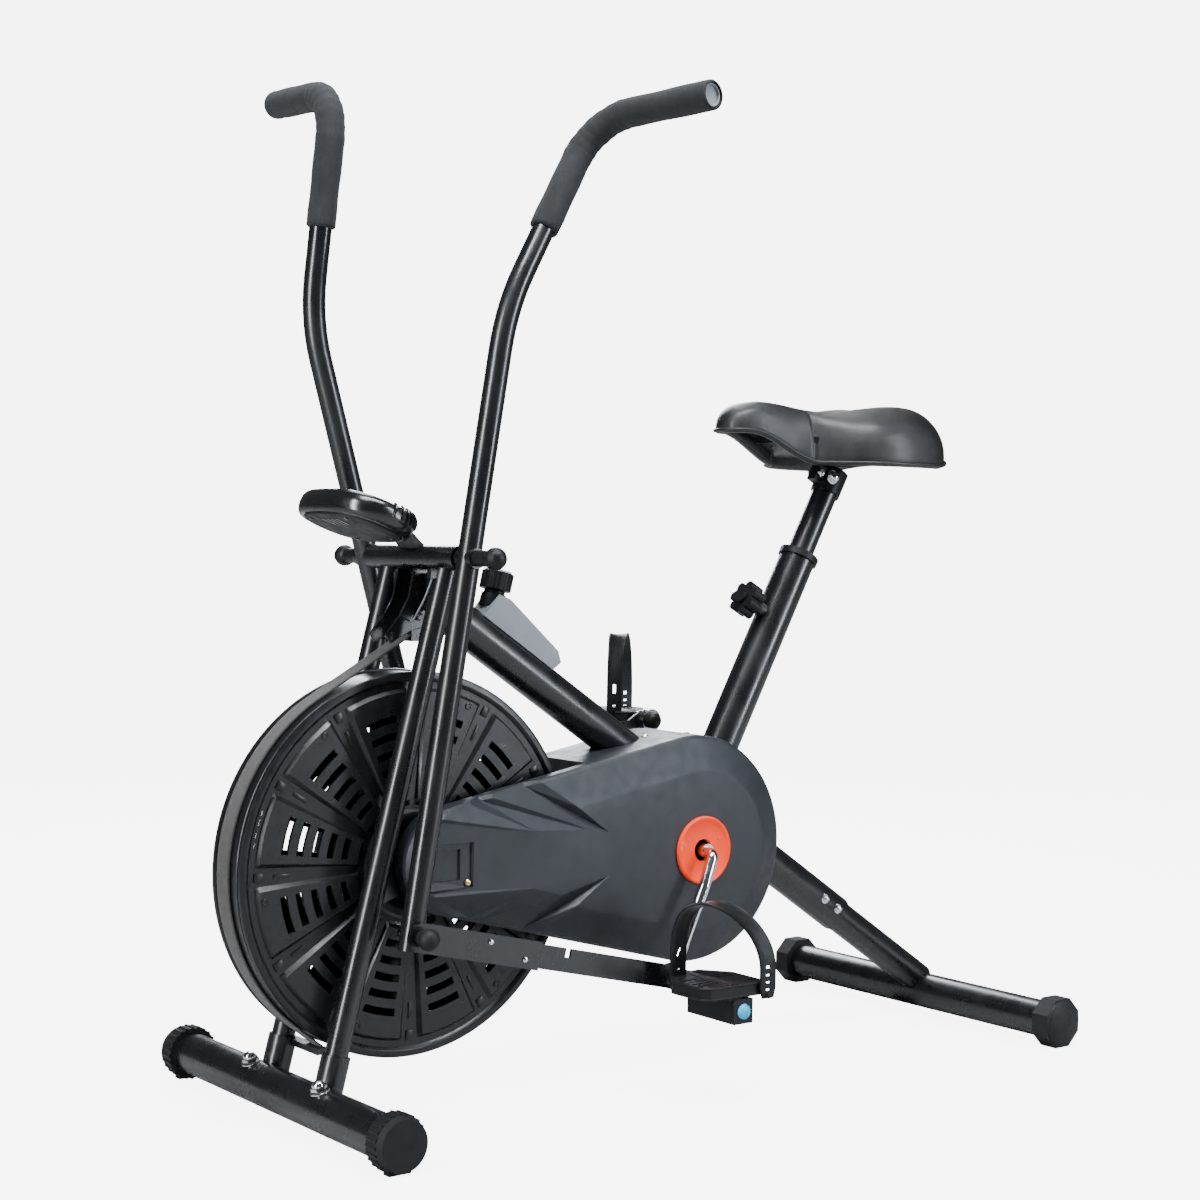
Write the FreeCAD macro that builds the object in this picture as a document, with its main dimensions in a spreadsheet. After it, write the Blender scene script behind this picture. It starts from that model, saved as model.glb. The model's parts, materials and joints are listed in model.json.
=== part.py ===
# Fan exercise bike with swinging handle arms, in millimetres.
# X runs from the fan to the saddle's back, -Y is the rider's left, Z is up.
# The origin is on the floor, under the middle of the bike.
import FreeCAD, Part
import math
import os
import Sketcher
from FreeCAD import Placement, Rotation, Vector

doc = FreeCAD.newDocument("FanBike")

# ---------------------------------------------------------------- driving dimensions
DIMENSIONS = [
    ("fan_x", -355), ("fan_z", 294), ("fan_dia", 460), ("fan_near", 40), ("fan_far", 30), ("shaft_dia", 12),
    ("crank_x", 56), ("crank_z", 286), ("crank_length", 168), ("crank_angle", 62.7),
    ("pivot_x", -332), ("pivot_z", 659), ("arm_y", 115), ("arm_lower", 439), ("arm_rest", 9.44),
    ("arm_far_rest", 16.5), ("arm_dia", 28), ("grip_dia", 36), ("axle_dia", 12), ("sleeve_dia", 24),
    ("fork_y", 62), ("fork_dia", 28), ("socket_dia", 34), ("crossbar_dia", 30), ("crossbar_half", 97),
    ("tube_dia", 50), ("tube_wall", 3), ("leg_dia", 43.6), ("stabilizer_z", 33),
    ("front_x", -503), ("front_half", 240), ("rear_x", 553), ("rear_half", 256), ("cap_dia", 66),
    ("cap_length", 30), ("seat_angle", 61.6), ("post_dia", 36), ("running_gap", 0.05),
    ("case_front_x", -327), ("case_front_z", 299), ("case_front_dia", 128), ("case_rear_dia", 294),
    ("case_near", 88), ("case_far", 70), ("case_wall", 3), ("case_step_x", -112), ("case_back", 55),
    ("ring_teeth", 36), ("sprocket_teeth", 12), ("chain_pitch", 12.7), ("chain_y", 62),
    ("rod_height", 34), ("bar_height", 29), ("rod_outer", 136.5), ("rod_inner", 131), ("spindle_dia", 12),
    ("trim_dia", 88), ("shell_dia", 46), ("shell_half", 36), ("strap_width", 28), ("strap_gap", 0.8),
    ("band_dia", 455), ("wire_dia", 2.5), ("ball_dia", 27), ("knob_dia", 40),
]
sheet = doc.addObject("Spreadsheet::Sheet", "Dims")
for row, (alias, value) in enumerate(DIMENSIONS, start=1):
    sheet.set("A%d" % row, alias)
    sheet.set("B%d" % row, str(value))
    sheet.setAlias("B%d" % row, alias)
doc.recompute()


def dim(alias):
    """Value of one driving dimension."""
    return float(sheet.get(alias))


X_AXIS = Vector(1, 0, 0)
Y_AXIS = Vector(0, 1, 0)
Z_AXIS = Vector(0, 0, 1)
subparts = []


# ---------------------------------------------------------------- building blocks
def node(obj, label):
    """Names a finished sub-part and keeps it for export."""
    obj.Label = label
    subparts.append(obj)
    return obj


def expressions(obj, bindings):
    for prop, text in bindings.items():
        obj.setExpression(prop, text)
    return obj


def turned_to(direction):
    return Rotation(Z_AXIS, Vector(direction))


def rod_between(start, end, radius):
    """Cylinder from start to end; radius is an expression of the sheet's cells."""
    start, end = Vector(start), Vector(end)
    obj = doc.addObject("Part::Cylinder", "Cylinder")
    obj.Height = (end - start).Length
    expressions(obj, {"Radius": radius})
    obj.Placement = Placement(start, turned_to(end - start))
    return obj


def box(low, high):
    obj = doc.addObject("Part::Box", "Box")
    obj.Length, obj.Width, obj.Height = (high[i] - low[i] for i in range(3))
    obj.Placement = Placement(Vector(low), Rotation())
    return obj


def fuse(pieces):
    obj = doc.addObject("Part::MultiFuse", "Fuse")
    obj.Shapes = pieces
    obj.Refine = True
    return obj


def cut(base, tools):
    """Base with every tool taken away."""
    tools = tools if isinstance(tools, list) else [tools]
    obj = doc.addObject("Part::Cut", "Cut")
    obj.Base = base
    obj.Tool = tools[0] if len(tools) == 1 else fuse(tools)
    return obj


def group(pieces):
    """Separate solids that share one node."""
    obj = doc.addObject("Part::Compound", "Group")
    obj.Links = pieces
    return obj


def placed(obj, position, rotation=None):
    obj.Placement = Placement(Vector(position), rotation or Rotation())
    return obj


def plane_of(body, role):
    return [feature for feature in body.Origin.OriginFeatures if feature.Role == role][0]


def new_sketch(body, role, offset=0.0):
    sketch = body.newObject("Sketcher::SketchObject", "Sketch")
    sketch.AttachmentSupport = (plane_of(body, role), [""])
    sketch.MapMode = "FlatFace"
    sketch.AttachmentOffset = Placement(Vector(0, 0, offset), Rotation())
    return sketch


def add_loop(sketch, points):
    """Closed outline of straight edges."""
    for i, (x, y) in enumerate(points):
        x2, y2 = points[(i + 1) % len(points)]
        sketch.addGeometry(Part.LineSegment(Vector(x, y, 0), Vector(x2, y2, 0)), False)


def add_circle(sketch, centre, radius):
    """Circle whose radius is an expression of the sheet's cells, or a number."""
    circle = Part.Circle(Vector(centre[0], centre[1], 0), Z_AXIS, 1.0)
    index = sketch.addGeometry(circle, False)
    sketch.addConstraint(Sketcher.Constraint("Radius", index, 1.0))
    sketch.addConstraint(Sketcher.Constraint("DistanceX", -1, 1, index, 3, centre[0]))
    sketch.addConstraint(Sketcher.Constraint("DistanceY", -1, 1, index, 3, centre[1]))
    sketch.setExpression("Constraints[%d]" % (len(sketch.Constraints) - 3), str(radius))


def add_slot(sketch, start, end, radius):
    """Long hole with round ends from start to end."""
    a, b = Vector(start[0], start[1], 0), Vector(end[0], end[1], 0)
    along = (b - a).normalize()
    side = Vector(-along.y, along.x, 0) * radius
    sketch.addGeometry(Part.LineSegment(a + side, b + side), False)
    sketch.addGeometry(Part.Arc(b + side, b + along * radius, b - side), False)
    sketch.addGeometry(Part.LineSegment(b - side, a - side), False)
    sketch.addGeometry(Part.Arc(a - side, a - along * radius, a + side), False)


def add_hull(sketch, first, second, first_radius, second_radius):
    """Outline of a belt drawn round two circles."""
    a, b = Vector(first[0], first[1], 0), Vector(second[0], second[1], 0)
    line = b - a
    lean = math.asin((second_radius - first_radius) / line.Length)
    base = math.atan2(line.y, line.x)

    def at(centre, radius, angle):
        return centre + Vector(math.cos(angle), math.sin(angle), 0) * radius

    up, down = base + math.pi / 2 + lean, base - math.pi / 2 - lean
    sketch.addGeometry(Part.LineSegment(at(a, first_radius, up), at(b, second_radius, up)), False)
    sketch.addGeometry(Part.Arc(at(b, second_radius, up), at(b, second_radius, base),
                                at(b, second_radius, down)), False)
    sketch.addGeometry(Part.LineSegment(at(b, second_radius, down), at(a, first_radius, down)), False)
    sketch.addGeometry(Part.Arc(at(a, first_radius, down), at(a, first_radius, base + math.pi),
                                at(a, first_radius, up)), False)


def new_body():
    return doc.addObject("PartDesign::Body", "Body")


def pad(body, sketch, length, **options):
    feature = body.newObject("PartDesign::Pad", "Pad")
    feature.Profile = sketch
    if isinstance(length, str):
        expressions(feature, {"Length": length})
    else:
        feature.Length = length
    for name, value in options.items():
        setattr(feature, name, value)
    return feature


def pocket_through(body, sketch):
    feature = body.newObject("PartDesign::Pocket", "Pocket")
    feature.Profile = sketch
    feature.Type = "ThroughAll"
    feature.Midplane = True
    return feature


def ring_of(body, features, count):
    """Repeats features round the body's own Y axis."""
    pattern = body.newObject("PartDesign::PolarPattern", "Ring")
    pattern.Originals = features
    pattern.Axis = (plane_of(body, "Y_Axis"), [""])
    pattern.Angle = 360
    pattern.Occurrences = count
    body.Tip = pattern
    return pattern


def revolved(profile, position=(0, 0, 0)):
    """Piece turned about the Y axis from (radius, y) points, then moved to position."""
    body = new_body()
    sketch = new_sketch(body, "XY_Plane")
    add_loop(sketch, profile)
    feature = body.newObject("PartDesign::Revolution", "Turned")
    feature.Profile = sketch
    feature.ReferenceAxis = (sketch, ["V_Axis"])
    feature.Angle = 360
    placed(body, position)
    return body


def side_plate(outline, y_low, y_high, holes=()):
    """Flat plate seen from the side: outline in X and Z, thickness along Y."""
    body = new_body()
    sketch = new_sketch(body, "XZ_Plane", -y_high)
    add_loop(sketch, outline)
    for centre, radius in holes:
        add_circle(sketch, centre, radius)
    pad(body, sketch, y_high - y_low)
    return body


def arc_points(centre, radius, first, last, steps):
    """Points on an arc, angles in degrees."""
    angles = [math.radians(first + (last - first) * i / steps) for i in range(steps + 1)]
    return [(centre[0] + radius * math.cos(a), centre[1] + radius * math.sin(a)) for a in angles]


def bent_path(points, radii):
    """Straight runs joined by tangent arcs, one radius per corner."""
    points = [Vector(p) for p in points]
    edges = []
    start = points[0]
    for before, corner, after, radius in zip(points, points[1:], points[2:], radii):
        into = (corner - before).normalize()
        out = (after - corner).normalize()
        turn = into.getAngle(out)
        back = radius * math.tan(turn / 2)
        tangent_in, tangent_out = corner - into * back, corner + out * back
        middle = corner + (out - into).normalize() * (radius / math.cos(turn / 2) - radius)
        edges.append(Part.LineSegment(start, tangent_in).toShape())
        edges.append(Part.Arc(tangent_in, middle, tangent_out).toShape())
        start = tangent_out
    edges.append(Part.LineSegment(start, points[-1]).toShape())
    return Part.Wire(edges)


def swept(path, radius):
    """Round bar along a path."""
    first = path.Edges[0]
    circle = Part.Circle(first.valueAt(first.FirstParameter), first.tangentAt(first.FirstParameter), radius)
    profile = Part.Wire([circle.toShape()])
    return path.makePipeShell([profile], True, False)


def feature_of(shape, name):
    obj = doc.addObject("Part::Feature", name)
    obj.Shape = shape
    return obj


# ---------------------------------------------------------------- places worked out from the dimensions
FAN = Vector(dim("fan_x"), 0, dim("fan_z"))
CRANK = Vector(dim("crank_x"), 0, dim("crank_z"))
PIVOT = Vector(dim("pivot_x"), 0, dim("pivot_z"))
throw = math.radians(dim("crank_angle"))
THROW = Vector(math.cos(throw), 0, math.sin(throw)) * dim("crank_length")
LEFT_PIN = CRANK - THROW
RIGHT_PIN = CRANK + THROW


def arm_point(along, back, angle):
    """Point of a handle arm: along from the pivot up, back towards the rider, at a swing angle."""
    a = math.radians(angle)
    x = back * math.cos(a) + along * math.sin(a)
    z = along * math.cos(a) - back * math.sin(a)
    return PIVOT + Vector(x, 0, z)


LEFT_EYE = arm_point(-dim("arm_lower"), 0, dim("arm_rest"))
RIGHT_EYE = arm_point(-dim("arm_lower"), 0, -dim("arm_far_rest"))

HEAD = Vector(-322, 0, 616)
TAIL = Vector(dim("rear_x"), 0, 48)
tube_line = (TAIL - HEAD).normalize()
SOCKET_END = HEAD + tube_line * ((380 - HEAD.x) / tube_line.x)

seat = math.radians(dim("seat_angle"))
SEAT_LINE = Vector(math.cos(seat), 0, math.sin(seat))
SEAT_TOP = Vector(294.5, 0, 662)
SEAT_FOOT = SEAT_TOP - SEAT_LINE * 372
SEAT_ACROSS = Vector(-SEAT_LINE.z, 0, SEAT_LINE.x)
KNOB_CENTRE = SEAT_TOP - SEAT_LINE * 92

FORK_TOP = Vector(-325, 0, 660)
FORK_FOOT = Vector(-481, 0, 45)
fork_line = (FORK_TOP - FORK_FOOT).normalize()


def sided(point, y):
    return Vector(point.x, y, point.z)


def fork_at(z, y):
    return FORK_FOOT + fork_line * ((z - FORK_FOOT.z) / fork_line.z) + Vector(0, y, 0)


SIDES = (("left", -1), ("right", 1))


def fork_cutter(side, radius="Dims.fork_dia / 2"):
    y = side * dim("fork_y")
    return rod_between(sided(FORK_FOOT, y) - fork_line * 20, sided(FORK_TOP, y), radius)


def main_tube_cutter(radius="Dims.tube_dia / 2"):
    return rod_between(HEAD - tube_line * 40, SOCKET_END, radius)


# ---------------------------------------------------------------- frame
def crossbar_skin():
    return rod_between(PIVOT - Y_AXIS * 200, PIVOT + Y_AXIS * 200, "Dims.crossbar_dia / 2")


def socket_at(side):
    """Short sleeve on the front stabilizer that holds a fork tube's foot."""
    base = sided(FORK_FOOT, side * dim("fork_y")) - fork_line * 16
    return rod_between(base, base + fork_line * 58, "Dims.socket_dia / 2")


def make_frame():
    # One long tube runs from the head to the rear leg; its back end is the leg's socket.
    outer = main_tube_cutter()
    inner = main_tube_cutter("Dims.tube_dia / 2 - Dims.tube_wall")
    front = box((-420, -60, 560), (-330, 60, 720))
    leg_holes = [rod_between(SOCKET_END - tube_line * back + Vector(0, -40, 0),
                             SOCKET_END - tube_line * back + Vector(0, 40, 0), "4.1") for back in (22, 52)]
    node(cut(outer, [inner, front, crossbar_skin()] + leg_holes), "main_tube")

    # The seat tube carries a threaded boss for the height knob.
    shaft = rod_between(SEAT_FOOT, SEAT_TOP, "Dims.tube_dia / 2")
    hollow = rod_between(SEAT_FOOT, SEAT_TOP + SEAT_LINE, "Dims.tube_dia / 2 - Dims.tube_wall")
    boss = rod_between(KNOB_CENTRE + SEAT_ACROSS * 23, KNOB_CENTRE + SEAT_ACROSS * 40, "10")
    boss_hole = rod_between(KNOB_CENTRE, KNOB_CENTRE + SEAT_ACROSS * 60, "5.05")
    node(cut(fuse([shaft, boss]), [hollow, boss_hole, main_tube_cutter()]), "seat_tube")

    # The plastic bush lines the seat tube's mouth and guides the post.
    rim = rod_between(SEAT_TOP, SEAT_TOP + SEAT_LINE * 9, "Dims.tube_dia / 2 + 3")
    sleeve = rod_between(SEAT_TOP - SEAT_LINE * 45, SEAT_TOP + SEAT_LINE,
                         "Dims.tube_dia / 2 - Dims.tube_wall - Dims.running_gap")
    bore = rod_between(SEAT_TOP - SEAT_LINE * 50, SEAT_TOP + SEAT_LINE * 20,
                       "Dims.post_dia / 2 + Dims.running_gap")
    node(cut(fuse([rim, sleeve]), bore), "seat_bush")

    # Bottom bracket shell hangs from the main tube on two plates.
    shell = cut(rod_between(CRANK - Y_AXIS * dim("shell_half"), CRANK + Y_AXIS * dim("shell_half"),
                            "Dims.shell_dia / 2"),
                rod_between(CRANK - Y_AXIS * 60, CRANK + Y_AXIS * 60, "Dims.shell_dia / 2 - 4"))
    plates = []
    for y in (-18, 14):
        outline = [(CRANK.x - 34, CRANK.z + 12), (CRANK.x - 16, CRANK.z - 14), (CRANK.x + 16, CRANK.z - 14),
                   (CRANK.x + 52, CRANK.z + 30), (CRANK.x + 40, CRANK.z + 64), (CRANK.x - 30, CRANK.z + 104)]
        plates.append(side_plate(outline, y, y + 4))
    hole = rod_between(CRANK - Y_AXIS * 60, CRANK + Y_AXIS * 60, "Dims.shell_dia / 2 - 4")
    seat_clear = rod_between(SEAT_FOOT - SEAT_LINE * 30, SEAT_TOP, "Dims.tube_dia / 2")
    node(cut(fuse([shell] + plates), [hole, main_tube_cutter(), seat_clear]), "bottom_bracket")


def make_bearings():
    """Crank bearing cups and the fan shaft's bearing rings."""
    pieces = []
    for side in (-1, 1):
        cup = [(9.05, 28), (19, 28), (19, 36), (22, 36), (22, 41), (9.05, 41)]
        pieces.append(revolved([(r, side * y) for r, y in cup], CRANK))
        ring = [(6.05, 45), (14, 45), (14, 53.5), (6.05, 53.5)]
        pieces.append(revolved([(r, side * y) for r, y in ring], FAN))
    node(group(pieces), "bearings")


def make_head():
    half = dim("crossbar_half")
    bar = rod_between(PIVOT - Y_AXIS * half, PIVOT + Y_AXIS * half, "Dims.crossbar_dia / 2")
    bore = rod_between(PIVOT - Y_AXIS * 200, PIVOT + Y_AXIS * 200, "Dims.axle_dia / 2")
    node(cut(bar, bore), "crossbar")

    # A plate with an arched lower edge ties the fork tubes and carries the main tube.
    arch = [(y, 600 - 10 * (y / 34.0) ** 2) for y in range(-34, 35, 17)]
    arch = [(-50, 586)] + arch + [(50, 586), (50, 640), (-50, 640)]
    body = new_body()
    sketch = new_sketch(body, "YZ_Plane", -334)
    add_loop(sketch, arch)
    pad(body, sketch, 4)
    column = box((-330, -15, 612), (-306, 15, 650))
    forks = [fork_cutter(side) for _, side in SIDES]
    node(cut(fuse([body, column]), [crossbar_skin(), main_tube_cutter()] + forks), "head_gusset")

    tubes = []
    for _, side in SIDES:
        y = side * dim("fork_y")
        outer = fork_cutter(side)
        inner = rod_between(sided(FORK_FOOT, y) - fork_line * 30, sided(FORK_TOP, y) + fork_line * 5,
                            "Dims.fork_dia / 2 - 2")
        stabilizer = rod_between((dim("front_x"), -300, dim("stabilizer_z")),
                                 (dim("front_x"), 300, dim("stabilizer_z")),
                                 "Dims.tube_dia / 2")
        tubes.append(cut(outer, [inner, crossbar_skin(), stabilizer]))
    node(group(tubes), "fork_tubes")

    # Side plates behind the fork tubes hold the fan shaft's bearings.
    plates = []
    for side in (-1, 1):
        upper, lower = fork_at(345, 0), fork_at(245, 0)
        outline = [(lower.x, lower.z), (upper.x, upper.z)] + arc_points((FAN.x, FAN.z), 24, 60, -60, 8)
        y_low, y_high = sorted((side * 47, side * 52))
        plates.append(cut(side_plate(outline, y_low, y_high, [((FAN.x, FAN.z), 14)]), fork_cutter(side)))
    node(group(plates), "fan_plates")


def make_stabilizers():
    z = dim("stabilizer_z")
    front_half, rear_half = dim("front_half"), dim("rear_half")
    front = Vector(dim("front_x"), 0, z)
    tube = rod_between(front - Y_AXIS * front_half, front + Y_AXIS * front_half, "Dims.tube_dia / 2")
    hollow = rod_between(front - Y_AXIS * 300, front + Y_AXIS * 300, "Dims.tube_dia / 2 - 2")
    sockets = [socket_at(side) for _, side in SIDES]
    bores = [fork_cutter(side) for _, side in SIDES]
    node(cut(fuse([tube] + sockets), [hollow] + bores), "front_stabilizer")

    # Front feet: round caps with a ribbed skirt, a flat disc face and a flat to stand on.
    feet = []
    for side in (-1, 1):
        radius = dim("cap_dia") / 2
        skirt = revolved([(25, side * (front_half - 8)), (radius - 1.6, side * (front_half - 8)),
                          (radius - 1.6, side * (front_half + 14)), (25, side * (front_half + 14))], front)
        face = revolved([(0, side * front_half), (25, side * front_half), (25, side * (front_half + 14)),
                         (radius - 1.6, side * (front_half + 14)), (radius - 4, side * (front_half + 22)),
                         (0, side * (front_half + 22))], front)
        ribs = []
        count = 24
        for i in range(count):
            turn = math.tau * i / count
            spot = front + Vector(math.cos(turn), 0, math.sin(turn)) * (radius - 2)
            inner, outer = side * (front_half - 7), side * (front_half + 13)
            ribs.append(rod_between(spot + Y_AXIS * inner, spot + Y_AXIS * outer, "2"))
        near, far = sorted((side * (front_half + 1), side * (front_half + 13)))
        flat = box((front.x - 14, near, 0), (front.x + 14, far, 6))
        feet.append(fuse([skirt, face, flat] + ribs))
    node(group(feet), "front_feet")

    rear = Vector(dim("rear_x"), 0, z)
    tube = rod_between(rear - Y_AXIS * rear_half, rear + Y_AXIS * rear_half, "Dims.tube_dia / 2")
    hollow = rod_between(rear - Y_AXIS * 300, rear + Y_AXIS * 300, "Dims.tube_dia / 2 - 2")
    node(cut(tube, hollow), "rear_stabilizer")
    # Rear feet: eight-sided caps with a domed end, flat side down.
    feet = []
    for side in (-1, 1):
        across = dim("cap_dia") / 2
        corner = across / math.cos(math.pi / 8)
        outline = arc_points((0, 0), corner, 22.5, 337.5, 7)
        y0 = side * (rear_half - 10)
        block = new_body()
        sketch = new_sketch(block, "XZ_Plane", -y0)
        add_loop(sketch, outline)
        pad(block, sketch, 26, Reversed=side > 0)
        placed(block, rear)
        dome_profile = [(0, side * (rear_half - 2))]
        for degrees in range(0, 91, 15):
            t = math.radians(degrees)
            dome_profile.append((across * math.cos(t) * 0.99, side * (rear_half + 15.5 + 8 * math.sin(t))))
        dome = revolved(dome_profile, rear)
        socket = rod_between(rear + Y_AXIS * (y0 - side * 5), rear + Y_AXIS * (side * rear_half),
                             "Dims.tube_dia / 2")
        feet.append(cut(fuse([block, dome]), socket))
    node(group(feet), "rear_feet")

    leg = rod_between(SOCKET_END - tube_line * 80, TAIL, "Dims.leg_dia / 2")
    leg_hollow = rod_between(SOCKET_END - tube_line * 90, TAIL + tube_line * 20, "Dims.leg_dia / 2 - 2.5")
    skin = rod_between(rear - Y_AXIS * 300, rear + Y_AXIS * 300, "Dims.tube_dia / 2")
    holes = [rod_between(SOCKET_END - tube_line * back + Vector(0, -40, 0),
                         SOCKET_END - tube_line * back + Vector(0, 40, 0), "4.1") for back in (22, 52)]
    node(cut(leg, [leg_hollow, skin] + holes), "rear_leg")


def make_fasteners():
    # Two bolts run through the rear leg's socket, two hold the front stabilizer, each with a domed nut.
    pieces = []
    for back in (22, 52):
        spot = SOCKET_END - tube_line * back
        shank = rod_between(spot - Y_AXIS * 30, spot + Y_AXIS * 30, "4")
        head = revolved([(0, -25.2), (8, -25.2), (7, -29.5), (0, -31.5)], spot)
        nut = revolved([(0, 25.2), (8, 25.2), (8, 31), (0, 34)], spot)
        pieces.append(fuse([shank, head, nut]))
    tilt = Vector(-0.94, 0, 0.34)
    skin_from = Vector(dim("front_x"), -300, dim("stabilizer_z"))
    for y in (-66, 66):
        spot = Vector(dim("front_x"), y, dim("stabilizer_z")) + tilt * (dim("tube_dia") / 2)
        washer = rod_between(spot - tilt * 1.2, spot + tilt * 2, "9")
        nut = rod_between(spot + tilt * 1, spot + tilt * 8, "6.5")
        end = rod_between(spot + tilt * 7, spot + tilt * 13, "3.5")
        skin = rod_between(skin_from, skin_from + Y_AXIS * 600, "Dims.tube_dia / 2")
        pieces.append(cut(fuse([washer, nut, end]), skin))
    node(group(pieces), "frame_bolts")


# ---------------------------------------------------------------- fan
def make_fan():
    near, far = -dim("fan_near"), dim("fan_far")
    rim, band = dim("fan_dia") / 2, dim("band_dia") / 2
    face, skin = 4.0, 3.0
    body = new_body()
    sketch = new_sketch(body, "XY_Plane")
    add_loop(sketch, [
        (20, near + face), (52, near + face), (58, near + 1), (66, near + face), (band - 8, near + face),
        (band - 5, near), (rim, near), (rim, near + 6), (band - 4, near + 6), (band - 4, near + 13),
        (band, near + 13), (band, far - 6), (rim, far - 6), (rim, far), (band - 5, far),
        (band - 8, far - face), (20, far - face), (20, far - face - skin), (band - 6, far - face - skin),
        (band - 6, near + face + skin), (20, near + face + skin)])
    turned = body.newObject("PartDesign::Revolution", "Turned")
    turned.Profile = sketch
    turned.ReferenceAxis = (sketch, ["V_Axis"])
    turned.Angle = 360
    # Raised panels on both faces, every thirty degrees.
    raised = []
    for y, grow in ((near + face, 1), (far - face, -1)):
        sketch = new_sketch(body, "XZ_Plane", -y)
        outline = arc_points((0, 0), 74, 7.6, 22.4, 2) + arc_points((0, 0), 212, 22.4, 7.6, 3)
        add_loop(sketch, outline)
        raised.append(pad(body, sketch, face - 0.4, Reversed=grow < 0))
    doc.recompute()
    ring_of(body, raised, 12)
    # Five slots in each raised panel open the wheel from face to face.
    sketch = new_sketch(body, "XZ_Plane", 0)
    for radius in (96, 116, 136, 156, 176):
        middle = math.radians(15)
        out = Vector(math.cos(middle), math.sin(middle), 0)
        side = Vector(-out.y, out.x, 0)
        half = radius * math.tan(math.radians(4.6)) - 1
        a, b = out * radius - side * half, out * radius + side * half
        add_slot(sketch, (a.x, a.y), (b.x, b.y), 4.2)
    doc.recompute()
    slots = pocket_through(body, sketch)
    doc.recompute()
    ring_of(body, [slots], 12)
    node(placed(body, FAN), "fan_wheel")

    hub = revolved([(5, near - 2), (16, near - 2), (20, near + 2), (20, far - 2), (16, far + 2),
                    (5, far + 2)], FAN)
    shaft = rod_between(FAN - Y_AXIS * 70, FAN + Y_AXIS * 58, "Dims.shaft_dia / 2")
    node(fuse([hub, shaft]), "fan_shaft")
    node(toothed_ring("sprocket_teeth", 6, FAN), "fan_sprocket")


def pitch_radius(teeth):
    return dim("chain_pitch") / (2 * math.sin(math.pi / teeth))


def toothed_ring(teeth_alias, bore, position, windows=0):
    """Chain wheel with one notch per roller."""
    teeth = int(dim(teeth_alias))
    radius = pitch_radius(teeth)
    body = new_body()
    sketch = new_sketch(body, "XZ_Plane", dim("chain_y") - 1.5)
    tip_radius = "%.4f / (2 * sin(180 deg / Dims.%s)) + 2.6" % (dim("chain_pitch"), teeth_alias)
    add_circle(sketch, (0, 0), tip_radius)
    add_circle(sketch, (0, 0), bore)
    pad(body, sketch, 3)
    notch = new_sketch(body, "XZ_Plane", 0)
    add_circle(notch, (radius + 0.6, 0), 4.1)
    doc.recompute()
    notches = pocket_through(body, notch)
    doc.recompute()
    ring_of(body, [notches], teeth)
    if windows:
        window = new_sketch(body, "XZ_Plane", 0)
        add_loop(window, arc_points((0, 0), 26, 10, 62, 4) + arc_points((0, 0), 58, 62, 10, 6))
        doc.recompute()
        opening = pocket_through(body, window)
        doc.recompute()
        ring_of(body, [opening], windows)
    return placed(body, position)


def make_brake():
    # A friction strap lies round the front of the rim and is held at both ends by the right fork tube.
    radius = dim("band_dia") / 2 + dim("strap_gap")
    outer = radius + 2.6
    centre = (FAN.x, FAN.z)
    first, last = math.radians(120), math.radians(232)

    def on(angle, r):
        return Vector(centre[0] + r * math.cos(angle), 0, centre[1] + r * math.sin(angle))

    def onward(angle, turn):
        return Vector(-math.sin(angle) * turn, 0, math.cos(angle) * turn)

    top_run, low_run = onward(first, -1) * 146, onward(last, 1) * 50
    inner_top, outer_top = on(first, radius), on(first, outer)
    inner_low, outer_low = on(last, radius), on(last, outer)
    middle = (first + last) / 2
    edges = [Part.LineSegment(outer_top + top_run, outer_top),
             Part.Arc(outer_top, on(middle, outer), outer_low),
             Part.LineSegment(outer_low, outer_low + low_run),
             Part.LineSegment(outer_low + low_run, inner_low + low_run),
             Part.LineSegment(inner_low + low_run, inner_low),
             Part.Arc(inner_low, on(middle, radius), inner_top),
             Part.LineSegment(inner_top, inner_top + top_run),
             Part.LineSegment(inner_top + top_run, outer_top + top_run)]
    face = Part.Face(Part.Wire([edge.toShape() for edge in edges]))
    face.translate(Vector(0, -12, 0))
    node(feature_of(face.extrude(Y_AXIS * dim("strap_width")), "Strap"), "brake_strap")

    # Small brackets on the right fork tube hold the strap's two ends.
    top_end, low_end = outer_top + top_run, inner_low + low_run
    upper = box((top_end.x - 2, -14, top_end.z - 9), (top_end.x + 14, 62, top_end.z + 9))
    lower = box((low_end.x - 12, -14, low_end.z - 8), (low_end.x + 2, 62, low_end.z - 0.5))
    strap = face.extrude(Y_AXIS * dim("strap_width"))
    space = feature_of(strap, "StrapSpace")
    return [cut(block, [fork_cutter(1), socket_at(1), space]) for block in (upper, lower)]


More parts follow.
